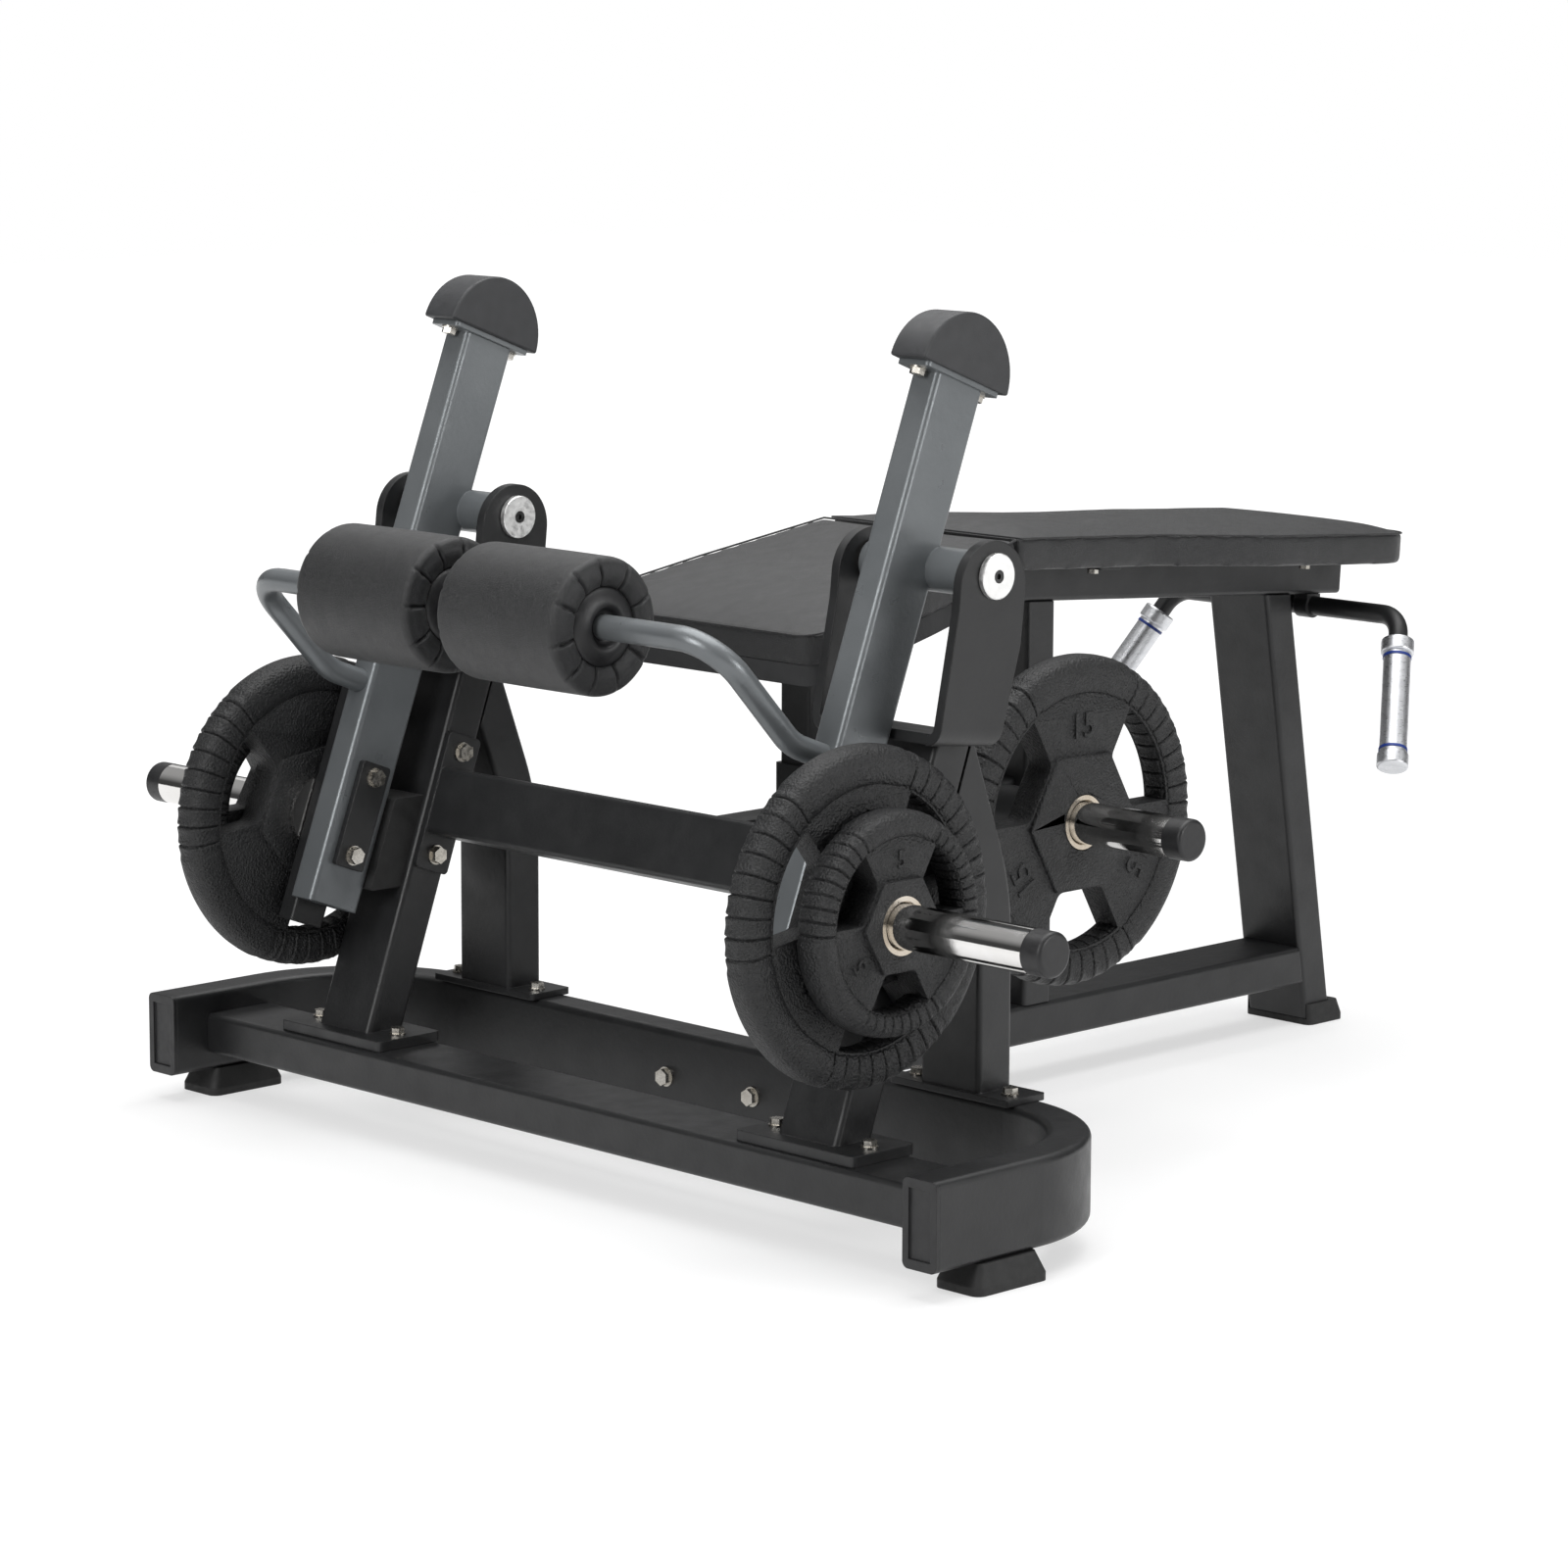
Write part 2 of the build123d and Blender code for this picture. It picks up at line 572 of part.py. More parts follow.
def lever_arm():
    """The arm, its top flange and the pivot sleeve through its back, welded together."""
    tube = Pos(-ARM_OFFSET, ARM_Y, -ARM_BELOW) * extrude(
        Rot(0, 0, 90) * hollow_section(ARM_WIDTH, ARM_DEPTH), ARM_BELOW + ARM_ABOVE)
    across = (-ARM_OFFSET - ARM_FLANGE_HALF_LENGTH, -ARM_OFFSET + ARM_FLANGE_HALF_LENGTH)
    y = (ARM_Y - 24, ARM_Y + 24)
    flange = block(across, y, (ARM_ABOVE, ARM_ABOVE + ARM_FLANGE_T))
    flange = fillet(flange.edges().filter_by(Axis.Z), 5.0)
    sleeve = rod_y(0, 0, SLEEVE_RADIUS, SLEEVE_Y)
    arm = tube + flange + sleeve
    arm -= rod_y(0, 0, BUSH_RADIUS, (SLEEVE_Y[0] - 1, SLEEVE_Y[1] + 1))
    for shift in (-CLAMP_BOLT, CLAMP_BOLT):
        arm -= bolt_hole((-ARM_OFFSET, ARM_Y_RANGE[0] - 5, CLAMP_ALONG + shift), (0, 1, 0),
                         ARM_WIDTH + 10)
    for shift in (-1, 1):
        arm -= bolt_hole((-ARM_OFFSET + shift * WEIGHT_BOLT_REACH, ARM_Y, ARM_ABOVE - 5),
                         (0, 0, 1), 30, size=10.0)
    return in_arm_frame(arm)


def counterweight():
    """A half-round weight on the arm's top flange."""
    seat = ARM_ABOVE + ARM_FLANGE_T
    y = (ARM_Y - WEIGHT_WIDTH / 2, ARM_Y + WEIGHT_WIDTH / 2)
    disc = rod_y(-ARM_OFFSET, seat, WEIGHT_RADIUS, y)
    half = disc & block((-300, 100), (y[0] - 5, y[1] + 5), (seat, seat + 100))
    half = fillet(half.edges(), 3.0)
    for shift in (-1, 1):
        half -= bolt_hole((-ARM_OFFSET + shift * WEIGHT_BOLT_REACH, ARM_Y, seat - 1), (0, 0, 1),
                          21, size=10.0)
    return in_arm_frame(half)


def lever_bolts():
    """One side's fasteners on the lever: two under the counterweight, two through the arm."""
    bolts = []
    for shift in (-1, 1):
        point = (-ARM_OFFSET + shift * WEIGHT_BOLT_REACH, ARM_Y, ARM_ABOVE)
        bolts.append(in_arm_frame(bolt(point, (0, 0, 1), ARM_FLANGE_T + 18, size=10.0, nut=False)))
    inner = ARM_Y_RANGE[0] - PLATE
    for shift in (-CLAMP_BOLT, CLAMP_BOLT):
        point = (-ARM_OFFSET, inner, CLAMP_ALONG + shift)
        grip = PLATE + ARM_WIDTH + WALL + 7
        bolts.append(in_arm_frame(bolt(point, (0, 1, 0), grip, nut=False)))
    return bolts


def clamp_plate():
    """The plate on the arm's inner face that backs the bolts of the horn carrier."""
    plate = Box(CLAMP_PLATE_SIZE[0], PLATE, CLAMP_PLATE_SIZE[1])
    plate = fillet(plate.edges().filter_by(Axis.Y), 4.0)
    plate = Pos(-ARM_OFFSET, ARM_Y_RANGE[0] - PLATE / 2, CLAMP_ALONG) * plate
    for shift in (-CLAMP_BOLT, CLAMP_BOLT):
        plate -= bolt_hole((-ARM_OFFSET, ARM_Y_RANGE[0] - 12, CLAMP_ALONG + shift),
                           (0, 1, 0), 15)
    return in_arm_frame(plate)


def horn_carrier():
    """The tube on the arm's outer face that carries the weight horn."""
    depth = CARRIER_Y[1] - CARRIER_Y[0]
    middle = (CARRIER_Y[0] + CARRIER_Y[1]) / 2
    along = CARRIER_ALONG[1] - CARRIER_ALONG[0]
    tube = Pos(-ARM_OFFSET, middle, CARRIER_ALONG[0]) * extrude(
        RectangleRounded(CARRIER_DEPTH, depth, 4.0), along)
    for shift in (-CLAMP_BOLT, CLAMP_BOLT):
        tube -= bolt_hole((-ARM_OFFSET, CARRIER_Y[0] - 1, CLAMP_ALONG + shift), (0, 1, 0), 11)
    return in_arm_frame(tube)


def horn(x, z, root, tip):
    """A weight horn: a stop flange, and the polished tube that the plates slide on."""
    flange = rod_y(x, z, HORN_FLANGE_RADIUS, (root, root + HORN_FLANGE_T))
    tube = rod_y(x, z, HORN_RADIUS, (root + HORN_FLANGE_T, tip - HORN_CAP), bore=HORN_RADIUS - 4)
    return flange + tube


def horn_cap(x, z, tip):
    cap = rod_y(x, z, HORN_RADIUS, (tip - HORN_CAP, tip))
    rim = cap.edges().filter_by(GeomType.CIRCLE).sort_by(Axis.Y)[-1]
    cap = fillet(rim, 5.0)
    return cap + rod_y(x, z, HORN_RADIUS - 4.2, (tip - HORN_CAP - 20, tip - HORN_CAP))


def roller_bar():
    """The bent bar that carries the rollers and joins the two arms."""
    side = ARM_Y
    roller = BAR_ROLLER
    corner = BAR_CORNER
    path = FilletPolyline(
        (ARM_FRONT, -side, corner[1]),
        (corner[0], -side, corner[1]),
        (roller[0], -side, roller[1]),
        (roller[0], side, roller[1]),
        (corner[0], side, corner[1]),
        (ARM_FRONT, side, corner[1]),
        radius=[70, 55, 55, 70],
    )
    start = Plane(origin=(ARM_FRONT, -side, corner[1]), z_dir=(-1, 0, 0))
    section = Circle(BAR_RADIUS) - Circle(BAR_RADIUS - 3)
    return in_arm_frame(sweep(start * section, path=path))


def pivot_bushes():
    """The flanged bushes at the two ends of one pivot sleeve."""
    bore = SHAFT_RADIUS + SHAFT_CLEARANCE
    bushes = []
    for face, outward in ((SLEEVE_Y[0], -1), (SLEEVE_Y[1], 1)):
        tube = rod_y(PIVOT_X, PIVOT_Z, BUSH_RADIUS,
                     sorted((face, face - outward * BUSH_LENGTH)), bore=bore)
        flange = rod_y(PIVOT_X, PIVOT_Z, BUSH_FLANGE_RADIUS,
                       sorted((face, face + outward * BUSH_FLANGE_T)), bore=bore)
        bushes.append(tube + flange)
    return bushes


def roller_foam():
    x, _, z = arm_point(*BAR_ROLLER)
    foam = rod_y(x, z, ROLLER_RADIUS, ROLLER_Y)
    rims = foam.edges().filter_by(GeomType.CIRCLE)
    foam = fillet(rims, 12.0)
    for face, inward in ((ROLLER_Y[0], 1), (ROLLER_Y[1], -1)):
        foam -= rod_y(x, z, ROLLER_DISC_RADIUS, sorted((face, face + inward * ROLLER_DISC_T)))
    return foam - rod_y(x, z, BAR_RADIUS + 3.5, ROLLER_Y)


def roller_discs():
    """The plastic hubs that close a roller's ends and turn on the bar."""
    x, _, z = arm_point(*BAR_ROLLER)
    bore = BAR_RADIUS + SHAFT_CLEARANCE
    discs = []
    for face, inward in ((ROLLER_Y[0], 1), (ROLLER_Y[1], -1)):
        disc = rod_y(x, z, ROLLER_DISC_RADIUS, sorted((face, face + inward * ROLLER_DISC_T)),
                     bore=bore)
        disc += rod_y(x, z, BAR_RADIUS + 3.5,
                      sorted((face, face + inward * (ROLLER_DISC_T + 40))), bore=bore)
        disc -= rod_y(x, z, BAR_RADIUS + 6.5, sorted((face, face + inward * 4)), bore=bore)
        discs.append(disc)
    return discs


def bumper():
    """A rubber-faced stop on the front post's front face, where the arm rests."""
    lean = math.radians(ARM_LEAN)
    low, high = BUMPER_Z
    rest = []
    for z in (low, high):
        along = (z - PIVOT_Z + ARM_BACK * math.sin(lean)) / math.cos(lean)
        rest.append((arm_point(ARM_BACK, along)[0] + 0.4, z))
    half_depth = POST_DEPTH / 2 * math.hypot(1, FRONT_POST_SLOPE)
    back = [(front_post_line(z) - half_depth, z) for z in (high, low)]
    y = (ARM_Y - BUMPER_WIDTH / 2, ARM_Y + BUMPER_WIDTH / 2)
    stop = outline_y(rest + back, y)
    return fillet(stop.edges().filter_by(Axis.Y).sort_by(Axis.X)[:2], 4.0)


# ------------------------------------------------------------------ weight storage
def storage_arm():
    """A saddle plate on the mid beam, with the tube that carries a storage horn."""
    y = (MID_BEAM_HALF_WIDTH, MID_BEAM_HALF_WIDTH + PLATE)
    plate = block((STORAGE_X - 42, STORAGE_X + 42), y, (340, 438))
    plate = fillet(plate.edges().filter_by(Axis.Y), 8.0)
    tube = rod_y(STORAGE_X, STORAGE_Z, STORAGE_TUBE_RADIUS, (y[1], STORAGE_FLANGE_Y),
                 bore=STORAGE_TUBE_RADIUS - 4)
    return plate + tube


# ------------------------------------------------------------------ weight plates
def window_outline(radius):
    """One window of a plate, centred on +X: a straight inner edge, two flared sides and an
    outer arc."""
    inner = HUB_FLAT_RATIO * radius + 2
    outer = RIM_RATIO * radius
    half = 0.185 * radius
    flare = math.radians(30)
    reach = inner * math.cos(flare) + half * math.sin(flare)
    step = -reach + math.sqrt(reach ** 2 + outer ** 2 - inner ** 2 - half ** 2)
    corner = (inner + step * math.cos(flare), half + step * math.sin(flare))
    sides = Polyline((corner[0], -corner[1]), (inner, -half), (inner, half), corner)
    rim = ThreePointArc(corner, (outer, 0), (corner[0], -corner[1]))
    face = make_face([sides, rim])
    return fillet(face.vertices(), 0.05 * radius)


def plate_rubber(radius, turn):
    """A rubber-covered plate along +Z: a thick rim, a web with three windows and a hexagonal
    hub with a bore for the steel ring."""
    rim_inner = RIM_RATIO * radius
    rim_width = radius - rim_inner
    section = Plane.XZ * Pos((radius + rim_inner) / 2, PLATE_T / 2) * RectangleRounded(
        rim_width, PLATE_T, min(rim_width, PLATE_T) * 0.38)
    rim = revolve(section, Axis.Z)
    web = Pos(0, 0, PLATE_T / 2) * Cylinder(rim_inner + rim_width / 4, WEB_T)
    hub_radius = HUB_FLAT_RATIO * radius / math.cos(math.radians(30))
    hub = extrude(Rot(0, 0, turn + 30) * RegularPolygon(hub_radius, 6), PLATE_T)
    hub = chamfer(hub.edges().filter_by(GeomType.LINE).group_by(Axis.Z)[-1], 3.0)
    hub = chamfer(hub.edges().filter_by(GeomType.LINE).group_by(Axis.Z)[0], 3.0)
    plate = rim + web + hub
    window = window_outline(radius)
    for step in range(3):
        opening = Rot(0, 0, turn + 30 + 120 * step) * window
        plate -= Pos(0, 0, -1) * extrude(opening, PLATE_T + 2)
    return plate - Pos(0, 0, PLATE_T / 2) * Cylinder(PLATE_RING, PLATE_T)


def plate_ring():
    """The steel ring in a plate's bore."""
    ring = Cylinder(PLATE_RING, PLATE_T) - Cylinder(PLATE_BORE, PLATE_T)
    rims = ring.edges().filter_by(GeomType.CIRCLE).filter_by(
        lambda edge: abs(edge.radius - PLATE_BORE) < 0.1)
    ring = chamfer(rims, 1.5)
    return Pos(0, 0, PLATE_T / 2) * ring


def place_plate(solid, x, y, z):
    """Turn a plate's axis to +Y, its inner face at the given Y, its first window above +X."""
    plane = Plane(origin=(x, y, z), x_dir=(1, 0, 0), z_dir=(0, -1, 0))
    flipped = mirror(solid, about=Plane.XY)
    return plane.location * flipped


# ------------------------------------------------------------------ bench
def torso_plane(depth):
    """The plane `depth` below the torso pad's top, its X along the pad towards the head."""
    slope = math.radians(TORSO_SLOPE)
    normal = Vector(math.sin(slope), 0, math.cos(slope))
    origin = Vector(APEX_X, 0, APEX_Z) - normal * depth
    return Plane(origin=origin, x_dir=(math.cos(slope), 0, -math.sin(slope)), z_dir=normal)


def thigh_plane(depth):
    """The plane `depth` below the thigh pad's top, its X along the pad towards the apex."""
    slope = math.radians(THIGH_SLOPE)
    normal = Vector(-math.sin(slope), 0, math.cos(slope))
    origin = Vector(APEX_X, 0, APEX_Z) - normal * depth
    return Plane(origin=origin, x_dir=(math.cos(slope), 0, math.sin(slope)), z_dir=normal)


def head_side(gap):
    return block((APEX_X + gap, 3000), (-500, 500), (0, 1500))


def foot_side(gap):
    return block((-1000, APEX_X - gap), (-500, 500), (0, 1500))


def torso_outline(inset):
    """The torso pad's outline: a waist at the hips and a broader chest, round at the head."""
    end = TORSO_LENGTH - inset
    points = [(-20, 165 - inset), (280, 143 - inset), (470, 180 - inset), (end, 176 - inset)]
    mirrored = [(x, -y) for x, y in reversed(points)]
    face = make_face(Polyline(*points, *mirrored, close=True))
    head = face.vertices().sort_by(Axis.X)[-2:]
    face = fillet(head, 55.0)
    waist = face.vertices().filter_by(lambda v: abs(v.X - 280) < 1 or abs(v.X - 470) < 1)
    return fillet(waist, 140.0)


def thigh_outline(inset):
    """The thigh pad's outline, broader at the foot end."""
    end = -THIGH_LENGTH + inset
    points = [(30, 161 - inset), (-190, 197 - inset), (end, 220 - inset)]
    mirrored = [(x, -y) for x, y in reversed(points)]
    face = make_face(Polyline(*points, *mirrored, close=True))
    return fillet(face.vertices().sort_by(Axis.X)[:2], 28.0)


def torso_pad():
    pad = extrude(torso_plane(0) * torso_outline(0), -TORSO_PAD_T)
    return pad & head_side(1.0)


def torso_board():
    board = extrude(torso_plane(TORSO_PAD_T) * torso_outline(4), -BOARD_T)
    return board & head_side(8.0)


def thigh_pad():
    pad = extrude(thigh_plane(0) * thigh_outline(0), -THIGH_PAD_T)
    return pad & foot_side(1.0)


def thigh_board():
    board = extrude(thigh_plane(THIGH_PAD_T) * thigh_outline(10), -THIGH_BOARD_T)
    return board & foot_side(10.0)


def torso_rail_solid(section):
    plane = torso_plane(TORSO_PAD_T + BOARD_T + RAIL_HEIGHT / 2)
    start = plane.from_local_coords((-20, 0, 0))
    end = plane.from_local_coords((TORSO_RAIL_LENGTH, 0, 0))
    return bar_along(tuple(start), tuple(end), section) & head_side(0)


def thigh_rail_solid(section):
    plane = thigh_plane(THIGH_PAD_T + THIGH_BOARD_T + THIGH_RAIL_HEIGHT / 2)
    start = plane.from_local_coords((-THIGH_LENGTH, 0, 0))
    end = plane.from_local_coords((30, 0, 0))
    rail = bar_along(tuple(start), tuple(end), section)
    return rail & block((THIGH_RAIL_START, APEX_X), (-500, 500), (0, 1500))


def bench_rail():
    """The cranked rail under the pads, with the tabs that the pads bolt to."""
    width = 2 * FLAT_TUBE_HALF_WIDTH
    rail = torso_rail_solid(hollow_section(width, RAIL_HEIGHT))
    rail += thigh_rail_solid(hollow_section(width, THIGH_RAIL_HEIGHT))
    rail += block((APEX_X - 3, APEX_X + 3), (-50, 50), (624, 660))
    return rail


def pad_tabs():
    """The steel tabs on the rail's sides, under the boards."""
    tabs = []
    torso = torso_plane(TORSO_PAD_T + BOARD_T)
    thigh = thigh_plane(THIGH_PAD_T + THIGH_BOARD_T)
    middle = (TAB_Y[0] + TAB_Y[1]) / 2
    for plane, stations in ((torso, TORSO_TABS), (thigh, THIGH_TABS)):
        for station in stations:
            sheet = Pos(station, middle) * RectangleRounded(40, TAB_Y[1] - TAB_Y[0], 4)
            sheet -= Pos(station, TAB_BOLT_Y) * Circle(4)
            tabs.append(extrude(plane * sheet, -TAB_T))
    return tabs


def pad_bolts():
    """The bolts up through the tabs into the boards."""
    bolts = []
    torso = torso_plane(TORSO_PAD_T + BOARD_T)
    thigh = thigh_plane(THIGH_PAD_T + THIGH_BOARD_T)
    for plane, stations in ((torso, TORSO_TABS), (thigh, THIGH_TABS)):
        for station in stations:
            under = plane.from_local_coords((station, TAB_BOLT_Y, -TAB_T))
            bolts.append(bolt(tuple(under), plane.z_dir, TAB_T + 9.5, size=8.0, nut=False))
    return bolts


def drilled_for_pad_bolts(board, plane, stations):
    for station in stations:
        for side in (1, -1):
            under = plane.from_local_coords((station, side * TAB_BOLT_Y, -1))
            board -= bolt_hole(tuple(under), plane.z_dir, 1 + 9.5, size=8.0)
    return board


def head_stanchion_solid(section):
    top_x, top_z = HEAD_STANCHION_TOP
    foot_x, foot_z = HEAD_STANCHION_FOOT
    run = (Vector(top_x, 0, top_z) - Vector(foot_x, 0, foot_z)).normalized()
    start = Vector(foot_x, 0, foot_z) - run * 30
    end = Vector(top_x, 0, top_z) + run * 60
    cut = block((0, 3000), (-200, 200), (foot_z, 2000))
    return bar_along(tuple(start), tuple(end), section) & cut


def below_rail(post):
    """Keep what is under the torso rail."""
    plane = torso_plane(TORSO_PAD_T + BOARD_T + RAIL_HEIGHT)
    above = extrude(plane * Pos(400, 0) * Rectangle(1400, 400), 400)
    return (post - above).solids().sort_by(SortBy.VOLUME)[-1]


def head_stanchion():
    section = hollow_section(2 * FLAT_TUBE_HALF_WIDTH, 50)
    return below_rail(head_stanchion_solid(section))


def mid_stanchion():
    middle = (MID_STANCHION_X[0] + MID_STANCHION_X[1]) / 2
    section = hollow_section(2 * FLAT_TUBE_HALF_WIDTH, MID_STANCHION_X[1] - MID_STANCHION_X[0])
    return below_rail(bar_along((middle, 0, BASE_RAIL_Z[1]), (middle, 0, 800), section))


def thigh_post():
    """The square post in the mid beam's socket, up to the thigh rail."""
    foot = (THIGH_POST_X, 0, MID_BEAM_Z[1] + 1)
    post = bar_along(foot, (THIGH_POST_X, 0, 800), hollow_section(50, 50, corner=4.0))
    plane = thigh_plane(THIGH_PAD_T + THIGH_BOARD_T + THIGH_RAIL_HEIGHT)
    above = extrude(plane * Pos(-200, 0) * Rectangle(800, 400), 400)
    return (post - above).solids().sort_by(SortBy.VOLUME)[-1]


# ------------------------------------------------------------------ handles
def handle_points():
    """The elbow, and a function that gives points along the slanted leg."""
    elbow = Vector(*HANDLE_ELBOW)
    slant = Vector(*HANDLE_SLANT).normalized()
    return elbow, slant


def handle_bar():
    """One bent bar under the rail, with a slanted leg at each end, and its two saddles."""
    elbow, slant = handle_points()
    reach = HANDLE_COLLAR_START + 2 * HANDLE_COLLAR_LENGTH + HANDLE_GRIP_LENGTH - 4
    tip = elbow + slant * reach
    points = [
        (tip.X, -tip.Y, tip.Z),
        (elbow.X, -elbow.Y, elbow.Z),
        (elbow.X, elbow.Y, elbow.Z),
        (tip.X, tip.Y, tip.Z),
    ]
    path = FilletPolyline(*points, radius=HANDLE_BEND_RADIUS)
    start = Plane(origin=points[0], z_dir=(-slant.X, slant.Y, -slant.Z))
    bar = sweep(start * Circle(HANDLE_BAR_RADIUS), path=path)
    under_rail = torso_plane(TORSO_PAD_T + BOARD_T + RAIL_HEIGHT)
    above = extrude(under_rail * Pos(690, 0) * Rectangle(200, 200), 100)
    for y in (HANDLE_SADDLE_Y, (-HANDLE_SADDLE_Y[1], -HANDLE_SADDLE_Y[0])):
        saddle = rod_y(elbow.X, elbow.Z, HANDLE_SADDLE_RADIUS, y)
        saddle += block((elbow.X - 13, elbow.X + 13), y, (elbow.Z, elbow.Z + 30))
        bar += saddle - above
    return bar


def handle_piece(start, length, radius, round_ends=0.0):
    """A sleeve on the slanted leg, from `start` along it."""
    elbow, slant = handle_points()
    plane = Plane(origin=tuple(elbow + slant * start), z_dir=tuple(slant))
    sleeve = extrude(plane * Circle(radius), length)
    if round_ends:
        sleeve = fillet(sleeve.edges().filter_by(GeomType.CIRCLE), round_ends)
    return sleeve - extrude(plane * Circle(HANDLE_BAR_RADIUS), length)


def handle_collars():
    """The collars above and below one grip."""
    lower = HANDLE_COLLAR_START + HANDLE_COLLAR_LENGTH + HANDLE_GRIP_LENGTH
    elbow, slant = handle_points()
    plane = Plane(origin=tuple(elbow + slant * lower), z_dir=tuple(slant))
    end = extrude(plane * Circle(HANDLE_COLLAR_RADIUS - 1), HANDLE_COLLAR_LENGTH)
    end = fillet(end.edges().filter_by(GeomType.CIRCLE), 3.0)
    end -= extrude(plane * Circle(HANDLE_BAR_RADIUS), HANDLE_COLLAR_LENGTH - 4)
    upper = handle_piece(HANDLE_COLLAR_START, HANDLE_COLLAR_LENGTH, HANDLE_COLLAR_RADIUS, 3.0)
    return [upper, end]


def handle_grip():
    return handle_piece(HANDLE_COLLAR_START + HANDLE_COLLAR_LENGTH, HANDLE_GRIP_LENGTH,
                        HANDLE_GRIP_RADIUS)


# ------------------------------------------------------------------ frame fasteners
def frame_bolts():
    """The bolts of the base plates, the crossbeam's flanges and the base rail's flange."""
    bolts = []
    for point in FRONT_BOLTS:
        grip = FRONT_PLATE_T + CROSS_TUBE_Z[1] - CROSS_TUBE_Z[0]
        bolts.append(bolt(point, DOWN, grip, size=FOOT_BOLT))
    for point in REAR_BOLTS:
        bolts.append(bolt(point, DOWN, PLATE + BASE_TUBE_HEIGHT, size=FOOT_BOLT))
    flange_y = POST_Y - POST_WIDTH / 2 - PLATE
    for x, z in crossbeam_bolt_points():
        bolts.append(bolt((x, flange_y, z), (0, 1, 0), PLATE + WALL + 10, nut=False))
    point = (BACK_BAR_X[0], FLANGE_BOLT_Y, FLANGE_BOLT_Z)
    bolts.append(bolt(point, (1, 0, 0), BASE_TUBE_WIDTH + FLANGE_T))
    return bolts


# ------------------------------------------------------------------ assembly
def build():
    stanchion = head_stanchion_solid(Rectangle(2 * FLAT_TUBE_HALF_WIDTH, 50))
    save("base_u_frame", base_frame())
    save("tube_end_caps", both_sides([base_end_cap()]) + [rail_end_cap()])
    save("front_cross_tube", cross_tube())
    save("front_feet", both_sides([front_foot()]))
    save("rear_foot", rear_foot(stanchion))
    save("base_rail", base_rail(stanchion))
    save("head_stanchion", head_stanchion())
    save("mid_stanchion", mid_stanchion())
    save("bench_rail", bench_rail())
    save("mid_beam", mid_beam())
    save("crossbeam", crossbeam())
    save("thigh_post", thigh_post())
    save("pad_tabs", both_sides(pad_tabs()))

    torso = torso_plane(TORSO_PAD_T + BOARD_T)
    thigh = thigh_plane(THIGH_PAD_T + THIGH_BOARD_T)
    save("torso_pad", torso_pad())
    save("torso_board", drilled_for_pad_bolts(torso_board(), torso, TORSO_TABS))
    save("thigh_pad", thigh_pad())
    save("thigh_board", drilled_for_pad_bolts(thigh_board(), thigh, THIGH_TABS))

    save("handle_bar", handle_bar())
    save("handle_grips", both_sides([handle_grip()]))
    save("handle_collars", both_sides(handle_collars()))
    save("frame_bolts", both_sides(frame_bolts()) + both_sides(pad_bolts()))
    save("bumpers", both_sides([bumper()]))
    save("pivot_shafts", both_sides([pivot_shaft()]))
    save("pivot_discs", both_sides(pivot_discs()))
    save("pivot_screws", both_sides(pivot_screws()))

    horn_x, _, horn_z = arm_point(-ARM_OFFSET, LEVER_HORN_ALONG)
    storage = (STORAGE_X, STORAGE_Z)
    save("storage_arm", other_side(storage_arm()))
    save("storage_horn", other_side(horn(*storage, STORAGE_FLANGE_Y, STORAGE_HORN_TIP)))
    save("storage_horn_cap", other_side(horn_cap(*storage, STORAGE_HORN_TIP)))
    place = (STORAGE_X, STORAGE_FLANGE_Y + HORN_FLANGE_T + PLATE_GAP, STORAGE_Z)
    save("storage_plate", other_side(place_plate(plate_rubber(LARGE_RADIUS, 0), *place)))
    save("storage_plate_ring", other_side(place_plate(plate_ring(), *place)))
    save("lever_horns", both_sides([horn(horn_x, horn_z, CARRIER_Y[1], LEVER_HORN_TIP)]))
    save("lever_horn_caps", both_sides([horn_cap(horn_x, horn_z, LEVER_HORN_TIP)]))
    save("roller_bar", roller_bar())
    save("pivot_bushes", both_sides(pivot_bushes()))
    save("counterweights", both_sides([counterweight()]))
    save("lever_bolts", both_sides(lever_bolts()))
    save("clamp_plates", both_sides([clamp_plate()]))
    save("horn_carriers", both_sides([horn_carrier()]))

    lever_seat = CARRIER_Y[1] + HORN_FLANGE_T + PLATE_GAP
    plates = [
        ("lever_plate_medium", MEDIUM_RADIUS, 8, (horn_x, lever_seat, horn_z)),
        ("lever_plate_small", SMALL_RADIUS, 0, (horn_x, lever_seat + PLATE_T + PLATE_GAP, horn_z)),
    ]
    one_side = [
        ("front_post", front_post()),
        ("rear_post", rear_post()),
        ("pivot_bracket", pivot_bracket()),
        ("lever_arm", lever_arm()),
        ("roller_foam", roller_foam()),
        ("roller_hubs", roller_discs()),
    ]
    for name, radius, turn, place in plates:
        one_side.append((name, place_plate(plate_rubber(radius, turn), *place)))
        one_side.append((name + "_ring", place_plate(plate_ring(), *place)))
    for name, solids in one_side:
        solids = solids if isinstance(solids, list) else [solids]
        save(name + "_left", solids)
        save(name + "_right", [other_side(solid) for solid in solids])


build()
os.makedirs("parts", exist_ok=True)
for node, solids in NODES.items():
    shape = solids[0] if len(solids) == 1 else Compound(children=solids)
    export_step(shape, os.path.join("parts", node + ".step"))
print(len(NODES), "nodes, origin under station", round(ORIGIN_STATION, 2))
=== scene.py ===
import json
import math

import bmesh
import bpy
from mathutils import Matrix, Vector
from mathutils.geometry import tessellate_polygon
from mathutils.kdtree import KDTree


